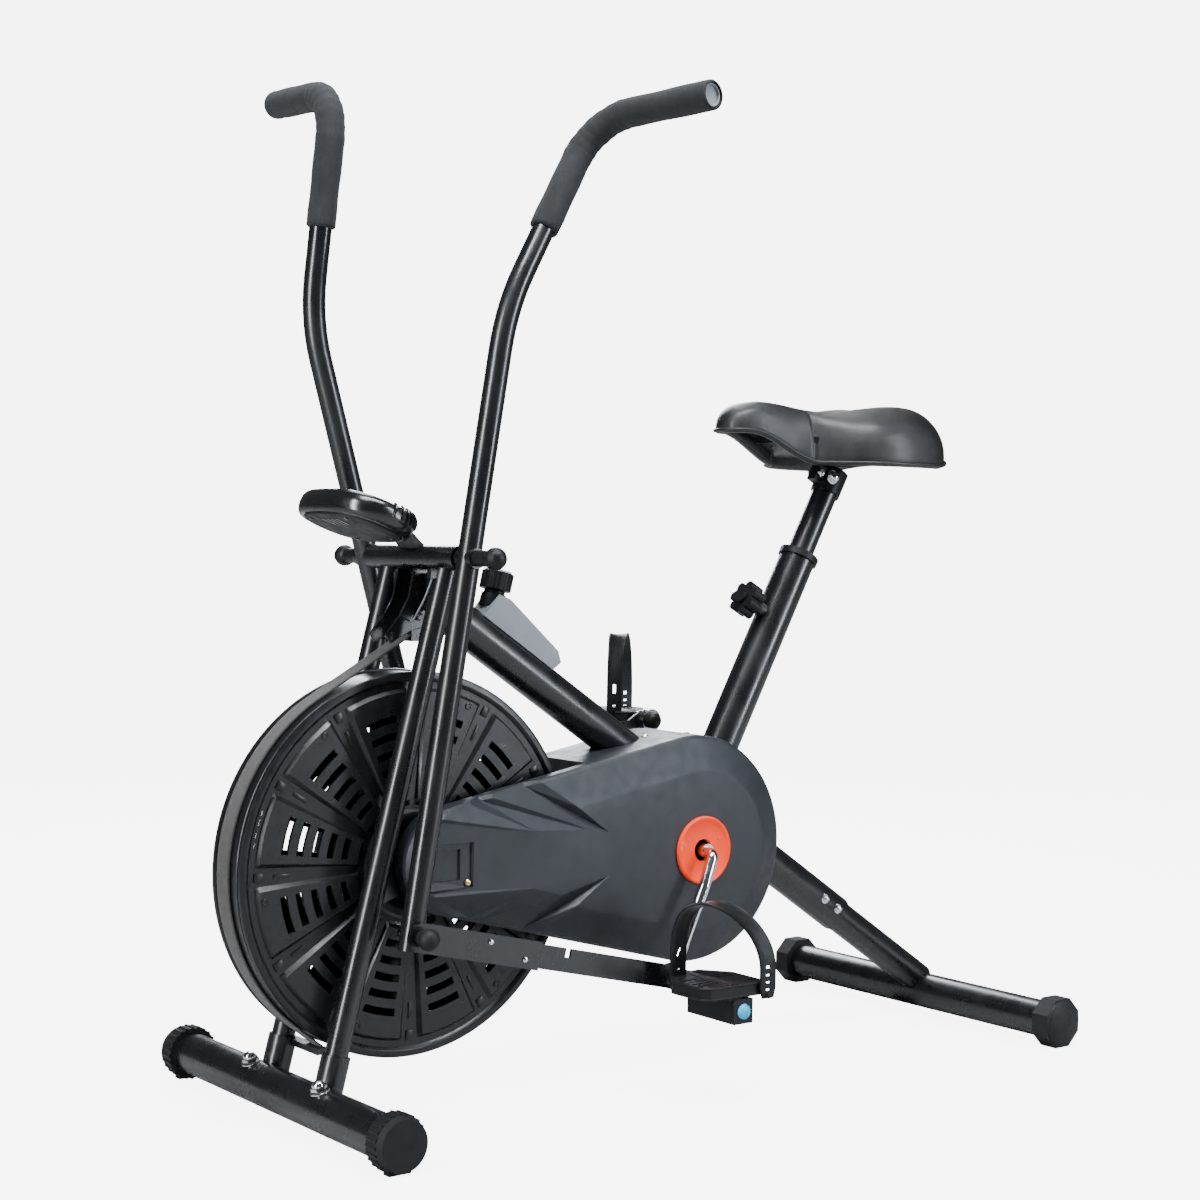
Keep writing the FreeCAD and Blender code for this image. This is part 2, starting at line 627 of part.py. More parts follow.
# ---------------------------------------------------------------- crank drive
def make_crank():
    # One forged bar: a shaft through the bottom bracket, bent out to a boss at each end.
    shaft = rod_between(CRANK - Y_AXIS * 98, CRANK + Y_AXIS * 98, "9")
    pieces = [shaft]
    for side, pin in ((-1, LEFT_PIN), (1, RIGHT_PIN)):
        out = (pin - CRANK).normalize()
        route = [CRANK + Y_AXIS * side * 90, CRANK + Y_AXIS * side * 110 + out * 4,
                 CRANK + Y_AXIS * side * 117 + out * 46, pin + Y_AXIS * side * 123 - out * 4]
        pieces.append(feature_of(swept(bent_path(route, (9, 9)), 7.5), "Arm"))
        pieces.append(rod_between(pin + Y_AXIS * side * 115, pin + Y_AXIS * side * 130, "16"))
        spindle_from, spindle_to = pin + Y_AXIS * side * 128, pin + Y_AXIS * side * 236
        pieces.append(rod_between(spindle_from, spindle_to, "Dims.spindle_dia / 2"))
        pieces.append(rod_between(pin + Y_AXIS * side * 137.4, pin + Y_AXIS * side * 141.5, "13"))
    flange = rod_between(CRANK - Y_AXIS * (dim("chain_y") - 1.5), CRANK - Y_AXIS * 56, "18")
    node(fuse(pieces + [flange]), "crank")
    node(toothed_ring("ring_teeth", 9, CRANK, windows=5), "chain_ring")
    caps = []
    for side, pin in ((-1, LEFT_PIN), (1, RIGHT_PIN)):
        profile = [(0, side * 115), (11, side * 115), (11, side * 109)]
        profile += [(11 * math.cos(math.radians(t)), side * (109 - 6 * math.sin(math.radians(t))))
                    for t in range(15, 91, 15)]
        caps.append(revolved(profile, pin))
    node(group(caps), "crank_caps")


def make_chain():
    # The chain is a static belt with a U section that stays clear of the teeth.
    ring, small = pitch_radius(int(dim("ring_teeth"))), pitch_radius(int(dim("sprocket_teeth")))
    centre_y = dim("chain_y")
    body = new_body()
    plates = ((centre_y - 3.6, 1.6, -4.2), (centre_y + 2.0, 1.6, -4.2), (centre_y - 2.4, 4.8, 3.6))
    for offset, width, inside in plates:
        sketch = new_sketch(body, "XZ_Plane", offset)
        add_hull(sketch, (FAN.x, FAN.z), (CRANK.x, CRANK.z), small + 5.6, ring + 5.6)
        add_hull(sketch, (FAN.x, FAN.z), (CRANK.x, CRANK.z), small + inside, ring + inside)
        pad(body, sketch, width)
    node(body, "chain")


def bevelled_block(y_face, depth, side, shrink, bevel=11):
    """Case outline with a bevelled outer edge; the outer face is at y_face on the given side."""
    front, rear = dim("case_front_dia") / 2 - shrink, dim("case_rear_dia") / 2 - shrink
    centre_front = (dim("case_front_x"), dim("case_front_z"))
    body = new_body()
    base_y = y_face - side * bevel
    sketch = new_sketch(body, "XZ_Plane", -base_y)
    add_hull(sketch, centre_front, (CRANK.x, CRANK.z), front, rear)
    pad(body, sketch, depth - bevel, Reversed=side < 0)
    outer = new_sketch(body, "XZ_Plane", -base_y)
    add_hull(outer, centre_front, (CRANK.x, CRANK.z), front, rear)
    inner = new_sketch(body, "XZ_Plane", -y_face)
    add_hull(inner, centre_front, (CRANK.x, CRANK.z), front - bevel, rear - bevel)
    loft = body.newObject("PartDesign::AdditiveLoft", "Bevel")
    loft.Profile = outer
    loft.Sections = [inner]
    loft.Ruled = True
    return body


def make_case():
    wall, step, back = dim("case_wall"), dim("case_step_x"), dim("case_back")
    for name, side, face in (("case_left", -1, dim("case_near")), ("case_right", 1, dim("case_far"))):
        seam = 0.25
        outer = bevelled_block(side * face, face - seam, side, 0)
        inner = bevelled_block(side * (face - wall), face - wall + 5, side, wall)
        if side < 0:
            nose = box((-500, -back, 100), (step, 40, 500))
            nose_inner = box((-500, -back - 2.4, 100), (step + wall, 40, 500))
        else:
            nose = box((-500, -40, 100), (step, 200, 500))
            nose_inner = box((-500, -40, 100), (step + wall, 200, 500))
        hollow = cut(inner, nose_inner)
        openings = [hollow, main_tube_cutter("Dims.tube_dia / 2 + 0.6"),
                    rod_between(SOCKET_END, TAIL, "Dims.leg_dia / 2 + 4"),
                    rod_between(SEAT_FOOT, SEAT_TOP, "Dims.tube_dia / 2 + 0.6"),
                    rod_between(CRANK - Y_AXIS * 150, CRANK + Y_AXIS * 150, "Dims.trim_dia / 2 - 8"),
                    rod_between(FAN - Y_AXIS * 75, FAN + Y_AXIS * 60, "18")]
        node(cut(cut(outer, nose), openings), name)

    # Dished trim rings fill the crank openings.
    trims = []
    for side, face in ((-1, dim("case_near")), (1, dim("case_far"))):
        radius = dim("trim_dia") / 2
        profile = [(radius - 8, face - 4), (radius - 8, face), (radius, face), (radius, face + 2.5),
                   (radius - 3, face + 4.5), (15, face - 1), (15, face - 4)]
        trims.append(revolved([(r, side * y) for r, y in profile], CRANK))
    node(group(trims), "crank_trims")

    screws = []
    spots = [(-371, 299, -dim("case_near")), (-300, 280, -dim("case_near"))]
    for x, z, y in spots:
        screws.append(revolved([(0, 0), (3.6, 0), (3.2, -1.6), (0, -2.2)], (x, y, z)))
    node(group(screws), "case_screws")


# ---------------------------------------------------------------- handle arms and rods
def make_arm(name, side, angle):
    """Bent handle arm, its foam grip, and the bolt through its lower end."""
    def at(along, back, across):
        return sided(arm_point(along, back, angle), side * across)

    foot = at(-dim("arm_lower") - 18, 0, 115)
    bend, shoulder, tip = at(300, 0, 112), at(559, 97, 95), at(569, 124, 281)
    route, bends = [foot, bend, shoulder, tip], (280, 62)
    outer = feature_of(swept(bent_path(route, bends), dim("arm_dia") / 2), "ArmTube")
    hollow = feature_of(swept(bent_path(route, bends), dim("arm_dia") / 2 - 2), "ArmBore")
    centre = sided(PIVOT, side * dim("arm_y"))
    sleeve = rod_between(centre - Y_AXIS * 16, centre + Y_AXIS * 16, "Dims.sleeve_dia / 2")
    bore = rod_between(centre - Y_AXIS * 40, centre + Y_AXIS * 40, "Dims.axle_dia / 2 + Dims.running_gap")
    eye = at(-dim("arm_lower"), 0, 115)
    eye_hole = rod_between(eye - Y_AXIS * 30, eye + Y_AXIS * 30, "4")
    node(cut(fuse([cut(outer, hollow), sleeve]), [bore, eye_hole]), "arm_" + name)

    up, out = (shoulder - bend).normalize(), (tip - shoulder).normalize()
    grip_route = [bend + up * 112, shoulder, tip + out * 3]
    grip = feature_of(swept(bent_path(grip_route, (62,)), dim("grip_dia") / 2), "Grip")
    core = feature_of(swept(bent_path(route, bends), dim("arm_dia") / 2), "GripCore")
    mouth = rod_between(tip - out * 2, tip + out * 10, "Dims.arm_dia / 2 - 2")
    node(cut(grip, [core, mouth]), "grip_" + name)

    # The bolt stops short of the rod, whose front eye is the linkage's open pivot.
    shank = rod_between(eye - Y_AXIS * side * 20, eye + Y_AXIS * side * 15, "4")
    nut = rod_between(eye - Y_AXIS * side * 22, eye - Y_AXIS * side * 14.2, "7.5")
    node(fuse([shank, nut]), "arm_bolt_" + name)


def ball_profile(side, start, neck_radius, neck_length, radius):
    """Outline of a ball knob on a short neck that grows outwards from y = start."""
    centre = start + neck_length + radius * 0.86
    first = 180 - math.degrees(math.asin(neck_radius / radius))
    ball = arc_points((0, 0), radius, 90 - first, 90, 9)
    outline = [(0, start), (neck_radius, start)] + [(x, centre + y) for x, y in ball]
    outline[-1] = (0, centre + radius)
    return [(r, side * y) for r, y in outline]


def make_rod(name, side, eye, pin):
    """Two-piece link rod: a channel at the arm's end and a flat bar at the crank's end."""
    line = (pin - eye).normalize()
    turn = Rotation(X_AXIS, line)
    length = (pin - eye).Length
    outer, inner = dim("rod_outer"), dim("rod_inner")
    half, bar_half, web = dim("rod_height") / 2, dim("bar_height") / 2, 2
    channel_end, bar_start = 172, 60

    def strip(outline, near, far):
        low, high = sorted((side * near, side * far))
        return placed(side_plate(outline, low, high), eye, turn)

    def round_front(half_height, end):
        return arc_points((0, 0), half_height, 270, 90, 10) + [(end, half_height), (end, -half_height)]

    block = strip(round_front(half, channel_end), inner, outer)
    void = strip(round_front(half - web, channel_end + 1), inner - 1, outer - web)
    channel = cut(block, void)
    bar_outline = [(bar_start, -bar_half), (bar_start, bar_half)]
    bar_outline += arc_points((length, 0), bar_half, 90, -90, 10)
    bar = strip(bar_outline, inner, outer - web)
    eye_hole = rod_between(pin + Y_AXIS * side * 100, pin + Y_AXIS * side * 150,
                           "Dims.spindle_dia / 2 + Dims.running_gap")
    notch_start = channel_end + 38
    notch = strip([(notch_start, bar_half - 11), (notch_start + 8, bar_half - 11),
                   (notch_start + 8, bar_half + 5), (notch_start, bar_half + 5)], inner - 5, outer + 5)
    node(group([channel, cut(bar, [eye_hole, notch])]), "rod_" + name)

    caps = [revolved(ball_profile(side, outer, 8, 2.5, 12), eye)]
    for along, lift in ((96, 8), (150, -6)):
        spot = eye + line * along + Vector(-line.z, 0, line.x) * lift
        head = [(0, outer), (5, outer), (4, outer + 3), (0, outer + 3.6)]
        caps.append(revolved([(r, side * y) for r, y in head], spot))
    node(group(caps), "rod_caps_" + name)


def make_pivot_axle():
    axle = rod_between(PIVOT - Y_AXIS * 150, PIVOT + Y_AXIS * 150, "Dims.axle_dia / 2")
    balls = []
    for side in (-1, 1):
        ball = revolved(ball_profile(side, 131.6, 9.5, 24, dim("ball_dia") / 2), PIVOT)
        bore = rod_between(PIVOT + Y_AXIS * side * 120, PIVOT + Y_AXIS * side * 150, "Dims.axle_dia / 2")
        balls.append(cut(ball, bore))
    node(group([axle] + balls), "pivot_axle")


# ---------------------------------------------------------------- pedals
def make_pedal(name, side, pin):
    """Pedal platform with its barrel and balance weight, foot strap and end cap."""
    half, nose, top, bottom = 49, 20, 10, -5
    body = new_body()
    sketch = new_sketch(body, "XY_Plane", bottom)
    plan = [(-nose, 146), (nose, 146), (half, 182), (half, 236), (half - 9, 245), (-half + 9, 245),
            (-half, 236), (-half, 182)]
    add_loop(sketch, [(x, side * y) for x, y in plan])
    pad(body, sketch, top - bottom)
    slots = new_sketch(body, "XY_Plane", top)
    for x, first in ((-26, 190), (24, 160)):
        for i in range(4):
            y = side * (first + 11 * i)
            add_slot(slots, (x - 14, y), (x + 14, y), 1.9)
    doc.recompute()
    pocket = body.newObject("PartDesign::Pocket", "Slots")
    pocket.Profile = slots
    pocket.Length = 8
    placed(body, pin)
    low, high = sorted((side * 158, side * 246))

    def block():
        barrel = rod_between(pin + Y_AXIS * side * 143, pin + Y_AXIS * side * 243, "12.5")
        weight = box((pin.x - 4, low, pin.z - 38), (pin.x + 26, high, pin.z - 8))
        return fuse([body, barrel, weight])

    bore = rod_between(pin + Y_AXIS * side * 100, pin + Y_AXIS * side * 237,
                       "Dims.spindle_dia / 2 + Dims.running_gap")
    node(cut(block(), bore), "pedal_" + name)

    # The strap arches from the inner front corner to the outer back corner.
    width, thick, rise, spring, foot = 26, 2.4, 84, 22, -16
    start, end = Vector(-22, side * 158, 0), Vector(45, side * 249, 0)
    span = (end - start).Length / 2

    def arch(reach, crown):
        turns = [math.radians(t) for t in range(180, -1, -12)]
        bow = [(reach * math.cos(t), spring + (crown - spring) * math.sin(t)) for t in turns]
        return [(-reach, foot)] + bow + [(reach, foot)]

    strap = new_body()
    profile = new_sketch(strap, "XZ_Plane", -width / 2)
    add_loop(profile, arch(span, rise) + list(reversed(arch(span - thick, rise - thick))))
    pad(strap, profile, width)
    heading = math.degrees(math.atan2(end.y - start.y, end.x - start.x))
    placed(strap, pin + (start + end) / 2, Rotation(Z_AXIS, heading))
    node(cut(strap, block()), "pedal_strap_" + name)

    cap = [(0, 246), (10.5, 246), (10, 249), (7, 251), (0, 251.6)]
    node(revolved([(r, side * y) for r, y in cap], pin + Vector(11, 0, -23)), "pedal_cap_" + name)


# ---------------------------------------------------------------- seat
def make_seat():
    top, bottom = SEAT_TOP + SEAT_LINE * 140, SEAT_TOP - SEAT_LINE * 190
    tube = rod_between(bottom, top, "Dims.post_dia / 2")
    hollow = rod_between(bottom - SEAT_LINE, top + SEAT_LINE, "Dims.post_dia / 2 - 2")
    holes = []
    for i in range(-3, 4):
        spot = KNOB_CENTRE + SEAT_LINE * 25 * i
        holes.append(rod_between(spot, spot + SEAT_ACROSS * 30, "5.6"))
    node(cut(tube, [hollow] + holes), "seat_post")

    # Clamp: a split sleeve round the post's top with a pinch bolt, and a cross barrel for the saddle.
    slant = Rotation(Y_AXIS, 90 - dim("seat_angle"))
    sleeve = rod_between(top - SEAT_LINE * 34, top + SEAT_LINE * 2, "Dims.post_dia / 2 + 3")
    ear = box((-34, -8, -12), (-16, 8, 12))
    ear.Placement = Placement(top - SEAT_LINE * 17, slant).multiply(ear.Placement)
    barrel_centre = top + SEAT_LINE * 24
    barrel = rod_between(barrel_centre - Y_AXIS * 17, barrel_centre + Y_AXIS * 17, "14")
    barrel_bore = rod_between(barrel_centre - Y_AXIS * 40, barrel_centre + Y_AXIS * 40, "5.05")
    bore = rod_between(bottom, top, "Dims.post_dia / 2")
    node(cut(fuse([sleeve, ear, barrel]), [bore, barrel_bore]), "seat_clamp")
    bolt_spot = top - SEAT_LINE * 17 + SEAT_ACROSS * 27
    pinch = [rod_between(bolt_spot - Y_AXIS * 8, bolt_spot - Y_AXIS * 15, "5.5"),
             rod_between(bolt_spot + Y_AXIS * 8, bolt_spot + Y_AXIS * 14, "5.5")]
    node(group(pinch), "seat_clamp_bolt")

    # Saddle base: side plates on the barrel, two rails and a stiff pan.
    rail_z, pan_z = barrel_centre.z + 14, barrel_centre.z + 16
    pieces = [rod_between(barrel_centre - Y_AXIS * 28, barrel_centre + Y_AXIS * 28, "5")]
    for side in (-1, 1):
        low, high = sorted((side * 17.4, side * 22))
        pieces.append(rod_between(sided(barrel_centre, low), sided(barrel_centre, high), "15"))
        pieces.append(box((barrel_centre.x - 13, low, barrel_centre.z), (barrel_centre.x + 13, high, pan_z)))
        pieces.append(rod_between((262, side * 22, rail_z), (450, side * 22, rail_z), "3.5"))
    pan = cut(saddle_block(pan_z, 8, 6), box((100, -200, pan_z - 5), (236, 200, pan_z + 20)))
    node(fuse(pieces + [pan]), "saddle_base")
    node(saddle_block(pan_z + 8, 50, 0), "saddle_pad")


def saddle_block(z, height, inset):
    """Saddle plan: a round nose that widens to a broad back."""
    tip, tail = 152 + inset, 506 - inset
    half_side = [(tip, 16 - inset * 0.5), (tip + 10, 30 - inset), (tip + 50, 39 - inset),
                 (tip + 112, 47 - inset), (tip + 140, 66 - inset), (tip + 165, 90 - inset),
                 (tip + 200, 109 - inset), (tip + 245, 118 - inset),
                 (tail - 52, 115 - inset), (tail - 18, 96 - inset), (tail, 62)]
    outline = half_side + [(x, -w) for x, w in reversed(half_side)]
    body = new_body()
    sketch = new_sketch(body, "XY_Plane", z)
    add_loop(sketch, outline)
    pad(body, sketch, height)
    return body


def make_seat_knob():
    """Lobed knob whose sprung pin drops into the post's holes."""
    start, end = KNOB_CENTRE + SEAT_ACROSS * 42, KNOB_CENTRE + SEAT_ACROSS * 64
    pieces = [rod_between(start, end, "17"), rod_between(end, end + SEAT_ACROSS * 6, "11"),
              rod_between(KNOB_CENTRE + SEAT_ACROSS * 18.6, start, "5")]
    other = SEAT_ACROSS.cross(Y_AXIS)
    lobes = 7
    for i in range(lobes):
        turn = math.tau * i / lobes
        spot = (Y_AXIS * math.cos(turn) + other * math.sin(turn)) * 17
        pieces.append(rod_between(start + spot, end + spot, "7"))
    node(fuse(pieces), "seat_knob")


# ---------------------------------------------------------------- controls
def make_tension():
    """Tension control: a wedge housing on the main tube and a ribbed knob that leans forward."""
    up = Vector(-tube_line.z, 0, tube_line.x)
    base = HEAD + tube_line * 90

    def at(along, lift):
        return base + tube_line * along + up * lift

    corners = [at(-8, 20), at(118, 20), at(124, 34), at(112, 44), at(14, 58), at(-4, 54)]
    body = side_plate([(p.x, p.z) for p in corners], -17, 17)
    node(cut(body, main_tube_cutter()), "tension_housing")

    lean = (up * 0.94 - tube_line * 0.34).normalize()
    start = at(-2, 58) + lean * 3
    end = start + lean * 22
    pieces = [rod_between(start, end, "Dims.knob_dia / 2 - 1.2")]
    other = lean.cross(Y_AXIS)
    ribs = 20
    for i in range(ribs):
        turn = math.tau * i / ribs
        spot = (Y_AXIS * math.cos(turn) + other * math.sin(turn)) * (dim("knob_dia") / 2 - 1.4)
        pieces.append(rod_between(start + spot, end + spot, "1.4"))
    node(fuse(pieces), "tension_knob")
    node(rod_between(end, end + lean * 2.4, "Dims.knob_dia / 2 - 3"), "tension_knob_top")


def make_console():
    """Oval display pod on a folded strip, tilted towards the rider."""
    centre = Vector(-417, 0, 706)
    tilt = Rotation(Y_AXIS, 20)
    half_x, half_y, fullness = 57, 84, 0.8

    def superellipse(scale):
        points = []
        for i in range(32):
            c, s = math.cos(math.tau * i / 32), math.sin(math.tau * i / 32)
            points.append((half_x * scale * math.copysign(abs(c) ** fullness, c),
                           half_y * scale * math.copysign(abs(s) ** fullness, s)))
        return points

    def slab(scale, z, height):
        body = new_body()
        sketch = new_sketch(body, "XY_Plane", z)
        add_loop(sketch, superellipse(scale))
        pad(body, sketch, height)
        return placed(body, centre, tilt)

    def screen(height):
        piece = box((-30, -42, 12), (22, 42, 12 + height))
        piece.Placement = Placement(centre, tilt).multiply(piece.Placement)
        return piece

    def push(radius, low, high):
        return rod_between(centre + tilt.multVec(Vector(36, 0, low)),
                           centre + tilt.multVec(Vector(36, 0, high)), radius)

    node(cut(slab(1.0, -8, 24), [screen(18), push("7.5", 8, 40)]), "console_case")
    node(slab(0.94, -16, 8), "console_back")
    node(screen(4.4), "console_lens")
    node(push("7", 11.5, 18.5), "console_button")
    strip = [(-334, 668), (-334, 674), (-352, 690), (-392, 706), (-392, 696), (-354, 682), (-342, 668)]
    pod = [slab(0.94, -16, 8), slab(1.0, -8, 24)]
    node(cut(side_plate(strip, -20, 20), pod + [crossbar_skin()]), "console_bracket")


def make_wire():
    """Signal wire that hangs in a loop between a clip on each fork tube."""
    start = fork_at(634, -dim("fork_y")) + Vector(-18, 0, 0)
    finish = fork_at(583, 0) + Vector(-6, 42, 0)
    route = [start, start + Vector(-4, 2, -16), start + Vector(-6, 20, -40), Vector(-350, -20, 580),
             Vector(-350, 18, 578), finish - Y_AXIS * 10, finish]
    path = bent_path(route, [6] * (len(route) - 2))
    node(feature_of(swept(path, dim("wire_dia") / 2), "Wire"), "sensor_wire")
    upper = box((start.x - 4, start.y - 4, start.z + 0.5), (start.x + 8, start.y + 4, start.z + 12))
    lower = box((finish.x - 4, finish.y, finish.z - 5), (finish.x + 4, finish.y + 10, finish.z + 5))
    return [cut(upper, fork_cutter(-1)), cut(lower, fork_cutter(1))]


# ---------------------------------------------------------------- build, check, write
make_frame()
make_bearings()
make_head()
make_stabilizers()
make_fasteners()
make_fan()
brackets = make_brake()
make_crank()
make_chain()
make_case()
make_pivot_axle()
make_arm("left", -1, dim("arm_rest"))
make_arm("right", 1, -dim("arm_far_rest"))
make_rod("left", -1, LEFT_EYE, LEFT_PIN)
make_rod("right", 1, RIGHT_EYE, RIGHT_PIN)
make_pedal("left", -1, LEFT_PIN)
make_pedal("right", 1, RIGHT_PIN)
make_seat()
make_seat_knob()
make_tension()
make_console()
brackets += make_wire()
node(group(brackets), "fork_brackets")
doc.recompute()

for obj in doc.Objects:
    if "Invalid" in obj.State or "Error" in obj.State:
        raise RuntimeError("%s did not build: %s" % (obj.Label, obj.State))
for obj in subparts:
    if obj.Shape.isNull() or not obj.Shape.isValid():
        raise RuntimeError("%s has a bad shape" % obj.Label)

os.makedirs("parts", exist_ok=True)
for obj in subparts:
    obj.Shape.exportStep(os.path.join("parts", obj.Label + ".step"))
print(len(subparts), "sub-parts written")
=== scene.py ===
"""Looks of the air bike: detailed pieces, materials, light and camera on top of its CAD frame.

Lengths are metres. Numbers inside mm(), and in the sections that say so, are millimetres.
"""
import json
from math import acos, asin, atan2, copysign, cos, exp, pi, radians, sin, sqrt, tan, tau

import bmesh
import bpy
from mathutils import Matrix, Vector
from mathutils.geometry import delaunay_2d_cdt


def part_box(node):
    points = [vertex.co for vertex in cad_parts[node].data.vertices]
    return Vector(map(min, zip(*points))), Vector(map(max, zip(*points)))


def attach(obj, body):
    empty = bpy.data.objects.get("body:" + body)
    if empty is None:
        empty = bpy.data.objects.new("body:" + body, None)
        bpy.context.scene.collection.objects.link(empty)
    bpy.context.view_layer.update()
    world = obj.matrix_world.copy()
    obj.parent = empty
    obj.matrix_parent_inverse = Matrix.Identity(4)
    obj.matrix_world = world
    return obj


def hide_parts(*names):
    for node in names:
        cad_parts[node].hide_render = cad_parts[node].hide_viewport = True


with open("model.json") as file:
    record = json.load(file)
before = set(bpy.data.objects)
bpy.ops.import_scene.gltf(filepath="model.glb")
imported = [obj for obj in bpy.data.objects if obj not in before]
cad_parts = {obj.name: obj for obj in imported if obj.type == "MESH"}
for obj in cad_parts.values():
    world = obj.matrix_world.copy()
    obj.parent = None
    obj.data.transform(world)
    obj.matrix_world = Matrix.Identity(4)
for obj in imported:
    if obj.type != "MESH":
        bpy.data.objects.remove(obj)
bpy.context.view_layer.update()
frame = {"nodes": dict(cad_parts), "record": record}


def mm(*values):
    return Vector(values) / 1000


X, Y, Z = Vector((1, 0, 0)), Vector((0, 1, 0)), Vector((0, 0, 1))
FAN = mm(-355, 0, 294)
CRANK = mm(56, 0, 286)
ARM_PIVOT = mm(-332, 0, 659)
LEFT_PIN, RIGHT_PIN = mm(-21, 0, 136.7), mm(133, 0, 435.3)
LEFT_ARM_LEAN, RIGHT_ARM_LEAN = 9.44, -16.5
TUBE_TOP = mm(-322, 0, 616)
TUBE_AXIS = (mm(553, 0, 48) - TUBE_TOP).normalized()


def add_object(name, data):
    obj = bpy.data.objects.new(name, data)
    bpy.context.collection.objects.link(obj)
    return obj


# ---------------- camera

def make_camera():
    yaw, pitch, roll = radians(37.716), radians(1.396), radians(0.95)
    ahead = Vector((sin(yaw) * cos(pitch), cos(yaw) * cos(pitch), -sin(pitch)))
    level = ahead.cross(Z).normalized()
    upright = level.cross(ahead)
    right = level * cos(roll) + upright * sin(roll)
    up = upright * cos(roll) - level * sin(roll)
    data = bpy.data.cameras.new("camera")
    data.sensor_width = 36
    data.lens = 62.49
    data.clip_start, data.clip_end = 0.05, 40
    camera = add_object("camera", data)
    turn = Matrix((right, up, -ahead)).transposed().to_4x4()
    camera.matrix_world = Matrix.Translation((-1.694, -2.1251, 0.6721)) @ turn
    bpy.context.scene.camera = camera


make_camera()


# ---------------- materials

class Shader:
    """A principled material with its procedural nodes, in the piece's own coordinates."""

    def __init__(self, name):
        self.material = bpy.data.materials.new(name)
        self.material.use_nodes = True
        self.tree = self.material.node_tree
        self.bsdf = self.tree.nodes["Principled BSDF"]
        self.coord = self.node("TexCoord").outputs["Object"]
        self.normal = None

    def node(self, kind, **sockets):
        made = self.tree.nodes.new("ShaderNode" + kind)
        for key, value in sockets.items():
            self.feed(made.inputs[key.replace("_", " ")], value)
        return made

    def feed(self, socket, value):
        if isinstance(value, bpy.types.NodeSocket):
            self.tree.links.new(value, socket)
        else:
            socket.default_value = value

    def noise(self, scale, detail=3.0, stretch=None, roughness=0.5):
        place = self.coord
        if stretch:
            place = self.node("Mapping", Vector=self.coord, Scale=stretch).outputs["Vector"]
        return self.node("TexNoise", Vector=place, Scale=scale, Detail=detail,
                         Roughness=roughness).outputs["Fac"]

    def cells(self, scale, feature="F1"):
        made = self.node("TexVoronoi", Scale=scale, Vector=self.coord)
        made.feature = feature
        return made.outputs["Distance"]

    def remap(self, value, low, high, to_low, to_high, smooth=False):
        made = self.node("MapRange")
        made.interpolation_type = "SMOOTHSTEP" if smooth else "LINEAR"
        for i, entry in enumerate((value, low, high, to_low, to_high)):
            self.feed(made.inputs[i], entry)
        return made.outputs["Result"]

    def blend(self, factor, first, second):
        made = self.node("Mix")
        made.data_type = "RGBA"
        # Inputs 6 and 7 and output 2 are the ones that carry colours.
        for index, value in ((0, factor), (6, first), (7, second)):
            self.feed(made.inputs[index], (*value, 1) if isinstance(value, tuple) else value)
        return made.outputs[2]

    def math(self, operation, first, second=0.0):
        made = self.node("Math")
        made.operation = operation
        self.feed(made.inputs[0], first)
        self.feed(made.inputs[1], second)
        return made.outputs[0]

    def axis(self, index):
        return self.node("SeparateXYZ", Vector=self.coord).outputs[index]

    def bump(self, height, strength, distance):
        made = self.node("Bump", Height=height, Strength=strength, Distance=distance)
        if self.normal is not None:
            self.feed(made.inputs["Normal"], self.normal)
        self.normal = made.outputs["Normal"]
        self.feed(self.bsdf.inputs["Normal"], self.normal)

    def surface(self, color, rough, **uniform):
        self.feed(self.bsdf.inputs["Base Color"], color)
        self.feed(self.bsdf.inputs["Roughness"], rough)
        for key, value in uniform.items():
            self.bsdf.inputs[key.replace("_", " ")].default_value = value
        return self.material


def scaled(color, factor):
    return tuple(c * factor for c in color)


def painted(name, color, rough=0.3):
    """Powder coat: faint orange peel, soft colour drift, a few dust specks and light handling marks."""
    s = Shader(name)
    specks = s.remap(s.cells(420), 0.02, 0.09, 1, 0, smooth=True)
    base = s.blend(s.noise(7, 3), scaled(color, 0.8), scaled(color, 1.3))
    base = s.blend(s.math("MULTIPLY", specks, 0.25), base, (0.16, 0.16, 0.17))
    smears = s.noise(26, 5, stretch=(1, 1, 0.35), roughness=0.65)
    s.bump(s.noise(1400, 2), 0.05, 0.0003)
    return s.surface(base, s.remap(smears, 0.3, 0.75, rough - 0.06, rough + 0.12), Coat_Weight=0.12,
                     Coat_Roughness=0.12, Specular_IOR_Level=0.5)


def moulded(name, color, rough=0.5, grain=900, depth=0.25, coat=0.0, spread=1.25, gloss=0.2):
    """Injection-moulded plastic with a fine spark-eroded grain and slight shade drift."""
    s = Shader(name)
    fine = s.noise(grain, 4, roughness=0.7)
    base = s.blend(s.noise(11, 4, roughness=0.6), scaled(color, 1 / spread), scaled(color, spread))
    base = s.blend(s.remap(fine, 0.55, 0.8, 0, 0.35), base, scaled(color, 2.0))
    s.bump(fine, depth, 0.0006)
    s.bump(s.noise(40, 2), 0.08, 0.0015)
    return s.surface(base, s.remap(s.noise(60, 4), 0.3, 0.7, rough - 0.07, rough + 0.09), Coat_Weight=coat,
                     Coat_Roughness=0.15, Specular_IOR_Level=gloss)


